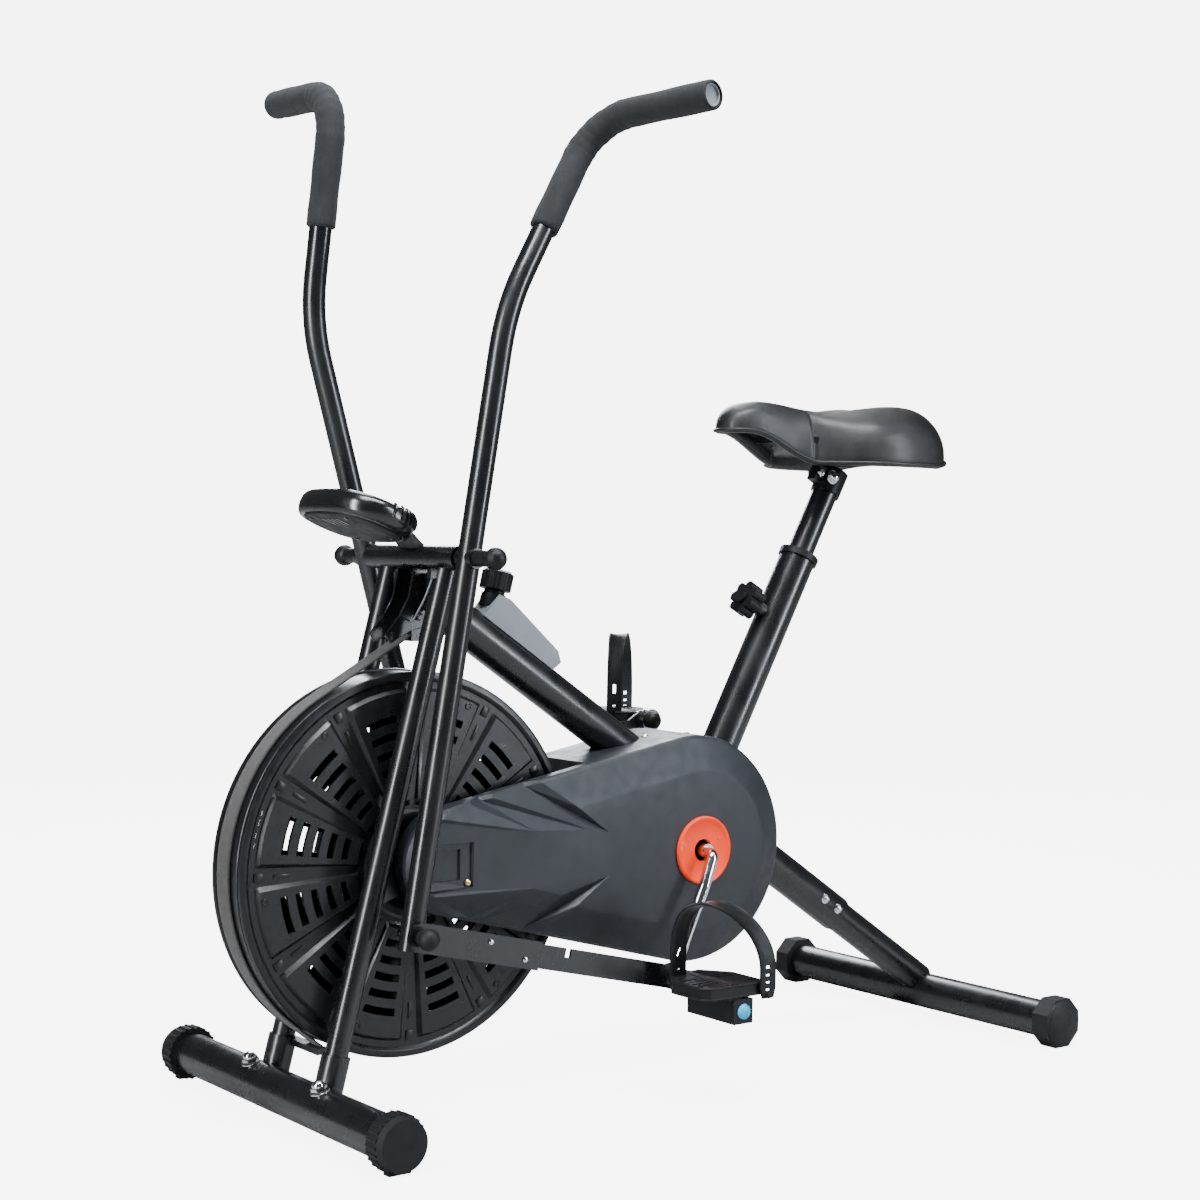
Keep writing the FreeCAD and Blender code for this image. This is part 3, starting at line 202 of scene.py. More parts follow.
def metal(name, color, rough=0.12, brushed=None, tarnish=0.15):
    """Plated or machined metal with drawn marks, cloudy tarnish and fine scratches."""
    s = Shader(name)
    cloud = s.noise(35, 5, roughness=0.65)
    base = s.blend(s.remap(cloud, 0.45, 0.8, 0, tarnish * 2), color, scaled(color, 0.45))
    s.bump(s.noise(260, 3, stretch=brushed or (1, 1, 0.08)), 0.3 if brushed else 0.1, 0.0003)
    s.bump(s.remap(s.noise(900, 2, stretch=(1, 0.06, 1)), 0.62, 0.7, 0, 1), 0.08, 0.0002)
    return s.surface(base, s.remap(cloud, 0.3, 0.75, rough - 0.04, rough + 0.14), Metallic=1.0)


def foam():
    """Closed-cell foam skin with fine pores and a few large ones."""
    s = Shader("foam_skin")
    pores = s.cells(1500)
    base = s.blend(s.noise(14, 4), (0.0075, 0.0082, 0.0092), (0.0145, 0.0157, 0.0172))
    # Painted shade: the fine pores are blended darker in their hollows, using the same cells that dent them.
    base = s.blend(s.remap(pores, 0.05, 0.3, 0.6, 0), base, (0.005, 0.0054, 0.006))
    s.bump(pores, 0.55, 0.0005)
    s.bump(s.cells(620), 0.25, 0.0006)
    return s.surface(base, s.remap(s.noise(50, 3), 0.3, 0.7, 0.72, 0.9), Sheen_Weight=0.06,
                     Sheen_Roughness=0.5, Specular_IOR_Level=0.2)


def vinyl():
    """Pebbled leather-look cover."""
    s = Shader("vinyl_cover")
    crease = s.remap(s.cells(560, "DISTANCE_TO_EDGE"), 0.0, 0.12, 0, 1, smooth=True)
    base = s.blend(s.noise(9, 4), (0.0028, 0.0028, 0.0032), (0.0062, 0.0062, 0.0072))
    # Painted shade: the creases between the pebbles are blended darker, using the same mask that sinks them.
    base = s.blend(crease, (0.003, 0.003, 0.0036), base)
    s.bump(crease, 0.32, 0.0006)
    s.bump(s.noise(1800, 3), 0.12, 0.0003)
    rough = s.remap(s.noise(18, 5, roughness=0.6), 0.3, 0.75, 0.28, 0.46)
    return s.surface(base, rough, Specular_IOR_Level=0.4, Coat_Weight=0.08, Coat_Roughness=0.3)


def webbing():
    """Woven belt: ribs 2.2 mm apart across it, a hundred waves round the fan's rim, and fuzzy threads."""
    s = Shader("strap_weave")
    turn = s.math("ARCTAN2", s.math("SUBTRACT", s.axis(2), FAN.z), s.math("SUBTRACT", s.axis(0), FAN.x))
    across_belt = s.math("SINE", s.math("MULTIPLY", s.axis(1), tau / 0.0022))
    along_belt = s.math("SINE", s.math("MULTIPLY", turn, tau * 100))
    weave = s.math("MULTIPLY", across_belt, along_belt)
    fuzz = s.noise(1500, 4, roughness=0.7)
    # Painted shade and light: the weave's hollows are coloured dark and its ridges light, following the same
    # height the bump uses.
    base = s.blend(s.remap(weave, -1, 1, 0, 1), (0.004, 0.0035, 0.003), (0.020, 0.0165, 0.014))
    base = s.blend(s.math("MULTIPLY", fuzz, 0.5), base, (0.010, 0.0085, 0.0075))
    s.bump(weave, 0.6, 0.0006)
    s.bump(fuzz, 0.3, 0.0003)
    return s.surface(base, s.remap(fuzz, 0.3, 0.7, 0.75, 0.95), Sheen_Weight=0.2)


def glossy_panel(name, color):
    """Clear window over a dark display, with a little haze."""
    s = Shader(name)
    haze = s.noise(22, 5, roughness=0.7)
    s.bump(s.noise(30, 2), 0.03, 0.002)
    return s.surface(s.blend(haze, scaled(color, 0.7), scaled(color, 1.5)),
                     s.remap(haze, 0.3, 0.7, 0.06, 0.16), Coat_Weight=0.6, Coat_Roughness=0.05)


PAINT = painted("black_paint", (0.0035, 0.0037, 0.0044), 0.27)
CASE = moulded("case_grain", (0.0135, 0.0155, 0.0195), 0.44, grain=1100, depth=0.32, gloss=0.32)
PLASTIC = moulded("black_moulding", (0.005, 0.005, 0.0056), 0.42, grain=1300, depth=0.2)
WHEEL = moulded("wheel_moulding", (0.0045, 0.0047, 0.0054), 0.33, 1500, 0.12, coat=0.08, gloss=0.3)
GLOSSY = moulded("glossy_moulding", (0.0045, 0.0047, 0.0053), 0.2, 1600, 0.08, coat=0.25, gloss=0.45)
CAPS = moulded("cap_rubber", (0.006, 0.006, 0.0065), 0.55, grain=1000, depth=0.35)
ORANGE = moulded("orange_moulding", (0.9, 0.045, 0.002), 0.38, 1500, 0.1, coat=0.05, spread=1.08)
BLUE = moulded("blue_moulding", (0.01, 0.36, 0.62), 0.3, grain=1400, depth=0.1, coat=0.3, spread=1.1)
GREY = moulded("grey_moulding", (0.10, 0.105, 0.115), 0.5, grain=1100, depth=0.25)
HOUSING = moulded("wedge_moulding", (0.17, 0.185, 0.205), 0.42, grain=800, depth=0.4, spread=1.35)
CLEAR_GREY = moulded("translucent_cap", (0.33, 0.35, 0.38), 0.35, grain=1300, depth=0.1, coat=0.2)
CHROME = metal("chrome_plate", (0.72, 0.73, 0.76), 0.08)
STEEL = metal("oiled_steel", (0.36, 0.36, 0.37), 0.3, brushed=(1, 0.05, 1))
BRASS = metal("brass_zinc", (0.62, 0.47, 0.22), 0.25)
FOAM = foam()
VINYL = vinyl()
WEBBING = webbing()
LENS = glossy_panel("display_window", (0.02, 0.024, 0.026))
THREAD = moulded("stitch_thread", (0.03, 0.03, 0.032), 0.7, grain=3000, depth=0.3)
WIRE = moulded("wire_jacket", (0.16, 0.165, 0.18), 0.4, grain=1500, depth=0.1)

SLOT_MATERIALS = {
    "frame_paint": PAINT, "black_plastic": PLASTIC, "chrome": CHROME, "steel": STEEL, "brass": BRASS,
    "wheel_black": WHEEL, "case_plastic": CASE, "orange_plastic": ORANGE, "strap_web": WEBBING,
    "foam": FOAM, "vinyl": VINYL, "blue_plastic": BLUE, "grey_plastic": GREY, "lens": LENS,
    "wire_grey": WIRE,
}
NODE_MATERIALS = {"front_feet": CAPS, "rear_feet": CAPS, "tension_knob_top": CLEAR_GREY,
                  "tension_housing": HOUSING, "console_bracket": PLASTIC}


# ---------------- sensor wire


def make_wire():
    """Limp wire that leaves a clip on the left fork tube, hangs in a loop and ends on the right one."""
    fork_foot = mm(-481, 0, 45)
    fork = (mm(-325, 0, 660) - fork_foot).normalized()

    def fork_at(z):
        return fork_foot + fork * ((z - fork_foot.z) / fork.z)

    start = fork_at(0.634) + mm(-18, -62, 0)
    finish = fork_at(0.583) + mm(-6, 42, 0)
    route = [start, start + mm(-4, 2, -16), start + mm(-6, 20, -40), mm(-350, -20, 580),
             mm(-350, 18, 578), finish + mm(0, -10, 0), finish]
    curve = bpy.data.curves.new("sensor_wire_line", "CURVE")
    curve.dimensions = "3D"
    curve.bevel_depth = 0.00125
    curve.bevel_resolution = 4
    curve.resolution_u = 14
    curve.use_fill_caps = True
    spline = curve.splines.new("NURBS")
    spline.points.add(len(route) - 1)
    for knot, p in zip(spline.points, route):
        knot.co = (*p, 1)
    spline.order_u = 3
    spline.use_endpoint_u = True
    curve.materials.append(WIRE)
    wire = add_object("sensor_wire_loop", curve)
    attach(wire, "frame")
    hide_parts("sensor_wire")


make_wire()


def dress_nodes():
    """Gives every CAD node its material."""
    slots = {part["node"]: part["material_slot"] for part in frame["record"]["subparts"]}
    for name, obj in frame["nodes"].items():
        obj.data.materials.clear()
        obj.data.materials.append(NODE_MATERIALS.get(name, SLOT_MATERIALS[slots[name]]))


dress_nodes()


# ---------------- mesh helpers

def add_piece(name, bm, body, material, replaces=None, sharp=38, weld=1e-6):
    """Turns a finished bmesh into a piece that rides on a body."""
    bmesh.ops.remove_doubles(bm, verts=bm.verts, dist=weld)
    bmesh.ops.recalc_face_normals(bm, faces=bm.faces)
    for face in bm.faces:
        face.smooth = True
    limit = radians(sharp)
    for edge in bm.edges:
        if len(edge.link_faces) == 2 and edge.calc_face_angle(0) > limit:
            edge.smooth = False
    mesh = bpy.data.meshes.new(name)
    bm.to_mesh(mesh)
    bm.free()
    mesh.materials.append(material)
    obj = add_object(name, mesh)
    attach(obj, body)
    if replaces:
        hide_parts(replaces)
    return obj


def loft(bm, rings, caps=True, close=False):
    """Skins a list of closed rings of points; close joins the last ring to the first."""
    rows = [[bm.verts.new(p) for p in ring] for ring in rings]
    count = len(rows[0])
    for a, b in list(zip(rows, rows[1:])) + ([(rows[-1], rows[0])] if close else []):
        for i in range(count):
            j = (i + 1) % count
            bm.faces.new((a[i], a[j], b[j], b[i]))
    if caps and not close:
        bm.faces.new(rows[0])
        bm.faces.new(rows[-1])


def turns(count):
    return [tau * i / count for i in range(count)]


def circle(centre, frame_pair, radius, steps):
    u, v = frame_pair
    return [centre + (u * cos(t) + v * sin(t)) * radius for t in turns(steps)]


def across(axis):
    """Two directions square to an axis and to each other."""
    if abs(axis.y) > 0.9 or abs(axis.z) > 0.9:
        first = axis.orthogonal().normalized()
    else:
        first = axis.cross(Y).normalized()
    return first, axis.cross(first)


def lathe(bm, origin, axis, profile, steps=40, caps=True):
    """Turns (radius, height) points in millimetres round an axis."""
    axis = axis.normalized()
    pair = across(axis)
    loft(bm, [circle(origin + axis * height / 1000, pair, max(radius / 1000, 1e-5), steps)
              for radius, height in profile], caps)


def stud(radius, side, inner, shoulder, top):
    """Profile of a low round head: straight side, chamfer up to the shoulder, and top."""
    return [(0, 0), (radius, 0), (radius, side), (inner, shoulder), (0, top)]


def screw_head(radius, side, inner, shoulder, top, recess):
    """Profile of a domed screw head with a small recess in the middle."""
    return [(0, 0), (radius, 0), (radius, side), (inner, shoulder), (1.2, top), (1.0, recess), (0, recess)]


def catmull(p0, p1, p2, p3, per):
    """Catmull-Rom samples from p1 up to, but without, p2."""
    return [0.5 * (2 * p1 + (p2 - p0) * t + (2 * p0 - 5 * p1 + 4 * p2 - p3) * t * t
                   + (3 * p1 - p0 - 3 * p2 + p3) * t ** 3) for t in [s / per for s in range(per)]]


def smooth_closed(points, per):
    count = len(points)
    return [p for i in range(count)
            for p in catmull(*(points[(i + k - 1) % count] for k in range(4)), per)]


def smooth_open(points, per):
    padded = [points[0] * 2 - points[1]] + points + [points[-1] * 2 - points[-2]]
    return [p for i in range(len(points) - 1) for p in catmull(*padded[i:i + 4], per)] + [points[-1]]


def rounded_route(points, radius, arc_steps=14):
    """Straight runs joined by tangent arcs, as a tube bender makes them."""
    result = [points[0]]
    for before, corner, after in zip(points, points[1:], points[2:]):
        a, b = (before - corner).normalized(), (after - corner).normalized()
        half = a.angle(b) / 2
        reach = radius / tan(half)
        centre = corner + (a + b).normalized() * (radius / sin(half))
        start, end = corner + a * reach - centre, corner + b * reach - centre
        axis, angle = start.rotation_difference(end).to_axis_angle()
        result += [centre + Matrix.Rotation(angle * i / arc_steps, 3, axis) @ start
                   for i in range(arc_steps + 1)]
    result.append(points[-1])
    return result


def frames_along(path, first=None):
    """A steady pair of cross directions at each point of a path."""
    last = len(path) - 1
    tangents = [(path[min(i + 1, last)] - path[max(i - 1, 0)]).normalized() for i in range(last + 1)]
    u = first if first else tangents[0].orthogonal()
    frames = []
    for tangent in tangents:
        u = (u - tangent * u.dot(tangent)).normalized()
        frames.append((u.copy(), tangent.cross(u)))
    return frames


def tube(bm, path, radii, steps=28):
    """Round tube along a path with one radius per point."""
    loft(bm, [circle(point, pair, radius, steps)
              for point, radius, pair in zip(path, radii, frames_along(path))])


def block(bm, centre, size, turn, bevel=0.0):
    made = bmesh.ops.create_cube(bm, size=1)["verts"]
    matrix = Matrix.Translation(centre) @ turn.to_4x4() @ Matrix.Diagonal((*size, 1))
    bmesh.ops.transform(bm, verts=made, matrix=matrix)
    if bevel:
        edges = list({e for v in made for e in v.link_edges})
        bmesh.ops.bevel(bm, geom=edges, offset=bevel, segments=2, profile=0.5, affect="EDGES")


def hex_bolt(bm, spot, axis, across_flats, height, washer=0.0):
    """Chamfered hexagon head, with a washer under it if one is asked for. Sizes in millimetres."""
    base = 0.0
    if washer:
        lathe(bm, spot, axis, [(0, 0), (washer, 0), (washer, 1.2), (washer - 0.6, 1.6), (0, 1.6)], 32)
        base = 1.5
    corner = across_flats / 2000 / cos(pi / 6)
    axis = axis.normalized()
    loft(bm, [circle(spot + axis * (base + height * lift) / 1000, across(axis), corner * share, 6)
              for share, lift in ((1, 0), (1, 0.8), (0.86, 1.0))])


def dome_nut(bm, spot, axis, across_flats, height, washer):
    """Capped nut: washer, hexagon skirt and a round dome. Sizes in millimetres."""
    hex_bolt(bm, spot, axis, across_flats, height * 0.45, washer)
    radius = across_flats * 0.46
    start = 1.5 + height * 0.42
    dome = [(radius * cos(t), start + (height - start) * sin(t))
            for t in [pi / 16 * i for i in range(9)]]
    lathe(bm, spot, axis, [(0, start)] + dome, 28)


# ---------------- saddle

# Half outline of the rim seen from above, nose to tail, in millimetres: (x, half width).
SADDLE_HALF = [(152, 0), (156, 17), (168, 28), (190, 34), (225, 39), (258, 44), (281, 52), (297, 70),
               (316, 91), (346, 108), (385, 117), (425, 118), (460, 111), (486, 94), (500, 70), (505, 40),
               (503, 14)]
SADDLE_SEAM = 281
SADDLE_LEVELS = 22


def step(value, low, high):
    t = min(max((value - low) / (high - low), 0), 1)
    return t * t * (3 - 2 * t)


def saddle_rim(x):
    """Height of the lower rim: high under the nose, low along the sides, a little up at the tail."""
    return 0.8345 - 0.0400 * step(x, 0.178, 0.292) + 0.010 * step(x, 0.455, 0.51)


def saddle_top(x, y):
    nose = 0.868 + 0.009 * step(x, 0.150, 0.210) - 0.011 * step(x, 0.215, 0.330)
    rear = 0.0095 * step(x, 0.32, 0.43) - 0.019 * step(x, 0.445, 0.515)
    cheek = 0.006 * step(abs(y), 0.012, 0.055) * step(x, 0.29, 0.36)
    channel = -0.004 * exp(-(y / 0.012) ** 2) * step(x, 0.19, 0.27)
    return nose + rear + cheek + channel


def saddle_spine(point):
    return Vector((min(max(point.x, 0.195), 0.430), 0, 0))


def flat(point):
    return Vector((point.x, point.y, 0))


def saddle_rings():
    """Rings of the cover's top from the spine out to the rim."""
    outline = [mm(x, w, 0) for x, w in SADDLE_HALF] + [mm(x, -w, 0) for x, w in reversed(SADDLE_HALF) if w]
    rim = smooth_closed(outline, 9)
    rings = []
    for k in range(SADDLE_LEVELS + 1):
        angle = pi / 2 * k / SADDLE_LEVELS
        reach = sin(angle) ** 0.62
        lift = cos(angle) ** 0.72 if k < SADDLE_LEVELS else 0.0
        ring = []
        for p in rim:
            core = saddle_spine(p)
            spot = core + (p - core) * reach
            low, high = saddle_rim(p.x), saddle_top(spot.x, spot.y)
            # A sewn crease climbs each flank where the nose meets the cheek.
            crease = exp(-((p.x - SADDLE_SEAM / 1000) / 0.0045) ** 2) * step(reach, 0.5, 0.9)
            inward = (p - core).normalized() * 0.0035 * crease
            ring.append(Vector((spot.x, spot.y, low + (high - low) * lift)) - inward)
        rings.append(ring)
    return rings


def make_saddle():
    rings = saddle_rings()
    edge = rings[-1]

    def offset(inward, lift):
        return [flat(p) - (flat(p) - saddle_spine(p)).normalized() * inward + Z * (p.z + lift) for p in edge]

    # The cover turns under at the rim and closes with a shallow ceiling.
    cover = bmesh.new()
    loft(cover, rings, caps=False)
    lip = [edge, offset(0.0015, -0.0022), offset(0.005, -0.0030), offset(0.009, -0.0012),
           offset(0.0105, 0.004), offset(0.0115, 0.014)]
    loft(cover, lip, caps=False)
    loft(cover, [[flat(p) + (saddle_spine(p) - flat(p)) * share + Z * (rim_point.z + 0.014 + 0.010 * share)
                  for p, rim_point in zip(lip[-1], edge)] for share in (0, 0.5, 1)], caps=False)
    pad = add_piece("saddle_cover", cover, "saddle", VINYL, "saddle_pad", sharp=60, weld=2e-5)

    # Piped bead round the lower rim.
    bead = bmesh.new()
    path = offset(-0.0008, 0.0012)
    beads = []
    for i, p in enumerate(path):
        ahead = (path[(i + 1) % len(path)] - path[i - 1]).normalized()
        u = ahead.cross(Z).normalized()
        beads.append(circle(p, (u, ahead.cross(u)), 0.0026, 10))
    loft(bead, beads, close=True)
    add_piece("saddle_bead", bead, "saddle", VINYL, sharp=80)

    # Two rows of stitches run beside each flank crease and over the top.
    stitches = bmesh.new()
    for side in (-1, 1):
        for gap in (-4.5, 4.5):
            row_x = (SADDLE_SEAM + gap) / 1000
            route = [min((p for p in ring if p.y * side > 0), key=lambda p: abs(p.x - row_x))
                     for ring in rings[6:SADDLE_LEVELS]]
            dashes(stitches, route, Vector((0, side * 0.5, 1)).normalized())
    add_piece("saddle_stitching", stitches, "saddle", THREAD)


def dashes(bm, route, outward, pitch=0.0042, share=0.62, radius=0.00045):
    """Thread stitches laid along a route, each a small rounded dash."""
    lengths = [0.0]
    for a, b in zip(route, route[1:]):
        lengths.append(lengths[-1] + (b - a).length)

    def at(distance):
        for i in range(len(route) - 1):
            if lengths[i + 1] >= distance:
                t = (distance - lengths[i]) / max(lengths[i + 1] - lengths[i], 1e-9)
                return route[i].lerp(route[i + 1], t)
        return route[-1]

    for i in range(int(lengths[-1] / pitch)):
        points = [at((i + share * t) * pitch) + outward * radius * 0.6 * sin(pi * t)
                  for t in (0, 0.25, 0.5, 0.75, 1)]
        tube(bm, points, [radius * 0.6, radius, radius, radius, radius * 0.6], steps=6)


make_saddle()


# ---------------- foam grips

def arm_point(along, back, offset, angle):
    """Point on a handle arm that leans by angle: millimetres along it, behind it and to its side."""
    a = radians(angle)
    return ARM_PIVOT + mm(back * cos(a) + along * sin(a), offset,
                          along * cos(a) - back * sin(a))


def make_grip(name, side, angle):
    """Foam sleeve round the arm's upper bend, a hair uneven, with a plug in the tube's end."""
    bend, shoulder, tip = (arm_point(*p, angle) for p in
                           ((300, 0, side * 112), (559, 97, side * 95), (569, 124, side * 281)))
    up, out = (shoulder - bend).normalized(), (tip - shoulder).normalized()
    start, end = bend + up * 0.112, tip + out * 0.003
    route = rounded_route([start, shoulder, end], 0.062, 26)
    path = [start.lerp(route[1], t) for t in (0, 0.004, 0.012, 0.03, 0.08, 0.2, 0.35, 0.5, 0.65, 0.8, 0.92)]
    path += route[1:-1]
    path += [route[-2].lerp(end, t) for t in (0.1, 0.25, 0.4, 0.55, 0.7, 0.82, 0.92, 0.965, 0.985, 0.995, 1)]
    frames = frames_along(path)
    steps, bore = 36, 0.0142
    rings = [circle(start + up * 0.004, frames[0], bore, steps), circle(start, frames[0], bore, steps)]
    for i, (p, pair) in enumerate(zip(path, frames)):
        near = min((p - start).length, (p - end).length)
        rounding = 0.0022 * (1 - min(near / 0.003, 1)) ** 2
        swell = 0.0003 * sin(i * 1.7) + 0.00025 * sin(i * 0.63 + side)
        rings.append(circle(p, pair, 0.018 - rounding + (swell if near > 0.01 else 0), steps))
    rings.append(circle(end, frames[-1], bore + 0.0004, steps))
    rings.append(circle(end - out * 0.003, frames[-1], bore, steps))
    bm = bmesh.new()
    loft(bm, rings, caps=False)
    add_piece("foam_grip_" + name, bm, name + "_arm", FOAM, "grip_" + name, sharp=50)
    plug = bmesh.new()
    lathe(plug, end - out * 0.003, out, [(13.5, -12), (13.8, -0.2), (13.2, 0.8), (12.2, 0.6), (11.6, -0.4),
                                         (11.2, -2.2), (5.0, -2.8), (0, -2.8)], 36)
    add_piece("tube_plug_" + name, plug, name + "_arm", HOUSING, sharp=40)


make_grip("left", -1, LEFT_ARM_LEAN)
make_grip("right", 1, RIGHT_ARM_LEAN)


# ---------------- chain case, in millimetres in its own plane

CASE_NOSE, CASE_NOSE_R = Vector((-327, 299)), 64
CASE_REAR, CASE_REAR_R = Vector((56, 286)), 147
LEFT_FACE_Y, RIGHT_FACE_Y = -88, 70
CASE_CUT = -112
AXLE_HOLE_R = 34
BEVEL_PROFILE = ((0, 20.6), (1.5, 17.4), (4, 15.3), (40, 1.12), (43, 0.37), (46, 0))


def hull_normal(top):
    """Outward normal of the case's straight top or bottom edge."""
    axis = (CASE_REAR - CASE_NOSE).normalized()
    lean = acos((CASE_NOSE_R - CASE_REAR_R) / (CASE_REAR - CASE_NOSE).length) * (1 if top else -1)
    return Vector((axis.x * cos(lean) - axis.y * sin(lean),
                   axis.x * sin(lean) + axis.y * cos(lean)))


def edge_point(x, inset, top):
    """Point of the case's straight top or bottom edge, moved inwards by inset."""
    normal = hull_normal(top)
    a, b = CASE_NOSE + normal * (CASE_NOSE_R - inset), CASE_REAR + normal * (CASE_REAR_R - inset)
    return a.lerp(b, (x - a.x) / (b.x - a.x))


def arc(centre, radius, start, end, count):
    return [centre + Vector((cos(t), sin(t))) * radius
            for t in [start + (end - start) * i / count for i in range(count + 1)]]


def full_circle(radius, count):
    return arc(CASE_REAR, radius, 0, tau, count)[:-1]


def hull_angles():
    return [atan2(normal.y, normal.x) for normal in (hull_normal(True), hull_normal(False))]


def rear_arc(inset, count=54):
    top, bottom = hull_angles()
    return arc(CASE_REAR, CASE_REAR_R - inset, top, bottom, count)


def nose_arc(inset, count=26):
    top, bottom = hull_angles()
    return arc(CASE_NOSE, CASE_NOSE_R - inset, bottom, top - tau, count)


def triple(spot, depth):
    return (spot[0], spot[1], depth)


def outside_axle(spot):
    return (spot - CASE_REAR).length > AXLE_HOLE_R - 0.1


class Relief:
    """A face drawn as polylines of points with depths, then meshed between them."""

    def __init__(self):
        self.points, self.depths, self.edges = [], [], []

    def point(self, spot, depth):
        for i, known in enumerate(self.points):
            if (known - spot).length < 0.05:
                return i
        self.points.append(spot)
        self.depths.append(depth)
        return len(self.points) - 1

    def line(self, spots, close=False):
        """spots are (x, z, depth) triples."""
        ids = [self.point(Vector((x, z)), depth) for x, z, depth in spots]
        pairs = list(zip(ids, ids[1:])) + ([(ids[-1], ids[0])] if close else [])
        self.edges += [pair for pair in pairs if pair[0] != pair[1]]

    def loop(self, spots, depth):
        self.line([triple(p, depth) for p in spots], close=True)

    def mesh(self, bm, y_face, sign):
        coords, _, faces, origins, _, _ = delaunay_2d_cdt(self.points, self.edges, [], 1, 1e-4)
        made = []
        for coord, origin in zip(coords, origins):
            depth = self.depths[origin[0]] if origin else self.near_depth(coord)
            made.append(bm.verts.new(mm(coord.x, y_face + sign * depth, coord.y)))
        for face in faces:
            if outside_axle(sum((coords[i] for i in face), Vector((0, 0))) / len(face)):
                bm.faces.new([made[i] for i in face])

    def near_depth(self, coord):
        """Depth where two drawn lines cross: taken along the nearest line."""
        gaps = []
        for a, b in self.edges:
            p, q = self.points[a], self.points[b]
            t = max(0, min(1, (coord - p).dot(q - p) / max((q - p).length_squared, 1e-9)))
            gaps.append(((p.lerp(q, t) - coord).length, self.depths[a] * (1 - t) + self.depths[b] * t))
        return min(gaps, key=lambda gap: gap[0])[1]


def draw_case_face():
    """Star-creased face: a wide bevel round the crank, blades that meet in points, and a sunken nose."""
    face = Relief()
    upper, outer, lower = (-97, 319, 0), (-132, 325, 0.4), (-96, 266, 0)
    bevel_x = -196

    def bevel_corner(inset, depth, top):
        tip = Vector((upper if top else lower)[:2])
        normal = hull_normal(top)
        reach = (CASE_NOSE + normal * CASE_NOSE_R - tip).dot(normal)
        return triple(edge_point(bevel_x, 0, top).lerp(tip, inset / reach), depth)

    starts = [bevel_corner(*row, True) for row in BEVEL_PROFILE]
    ends = [bevel_corner(*row, False) for row in BEVEL_PROFILE]
    for (inset, depth), start, end in zip(BEVEL_PROFILE, starts, ends):
        face.line([start] + [triple(p, depth) for p in rear_arc(inset)] + [end])
    face.line(starts + [upper])
    face.line(ends + [lower])

    # Blades: valleys and ridges that each run from the edge to a point.
    def at_edge(x, top, depth):
        return [triple(edge_point(x, 0, top), depth + 5), triple(edge_point(x, 4, top), depth)]

    valley, ridge, second = at_edge(-213, True, 21), at_edge(-266, True, 12.5), at_edge(-281, True, 18)
    low_valley, low_ridge = at_edge(-214, False, 21), at_edge(-283, False, 12.5)
    face.line(valley + [upper])
    face.line(ridge + [(-150, 333, 1.2), upper])
    face.line(second + [outer])
    face.line(low_valley + [lower])
    face.line(low_ridge + [(-169, 247, 1.2), lower])
    # Nose bands and the sunken plane between them.
    nose_top, nose_low = (-345, 352, 0.2), (-355, 261, 0.2)
    face.line([nose_top, (-213, 329.5, 0), outer, upper])
    face.line([(-345, 347.6, 3.2), (-216, 328, 0.2)])
    face.line([nose_low, (-212, 259, 0), lower])
    face.line([(-355, 265.4, 3.2), (-216, 260.6, 0.2)])
    # The nose's rim: its outer edge, and the foot of its chamfer 4 mm further in.
    for k, inset, depth, drop, bevel in ((0, 0, 9, 5, 0), (1, 4, 4, 0, 2)):
        runs = [(-300, 9 + drop), (-320, 6 + drop)]
        face.line([second[k]] + [triple(edge_point(x, inset, True), d) for x, d in runs]
                  + [triple(p, depth) for p in reversed(nose_arc(inset))]
                  + [triple(edge_point(x, inset, False), d) for x, d in reversed(runs)] + [low_ridge[k]])
        face.line([starts[bevel], valley[k], ridge[k], second[k]])
        face.line([ends[bevel], low_valley[k], low_ridge[k]])
    face.line([nose_top] + [triple(p, 1.2) for p in reversed(nose_arc(11)) if 266 < p.y < 346 and p.x < -345]
              + [nose_low])
    # A stepped recess of two rectangles in the nose.
    for left, low, right, high, floor, drop in ((-372, 268, -300, 322, 0, 4.2),
                                                (-352, 277, -316, 314, 4.2, 3.2)):
        for inset, extra in ((0, floor), (0.7, floor + drop)):
            corners = [(left + inset, low + inset), (right - inset, low + inset),
                       (right - inset, high - inset), (left + inset, high - inset)]
            face.line([(x, z, max(0.2, 3.2 * (-216 - x) / 129) + extra) for x, z in corners], close=True)
    face.loop(full_circle(AXLE_HOLE_R, 48), 0)
    return face


def case_wall(bm, front, back):
    """Side wall behind the face, with a narrow lip so that its edge stays crisp."""
    lip = [a + (b - a).normalized() * 0.0015 for a, b in zip(front, back)]
    loft(bm, [front, lip, back], caps=False)


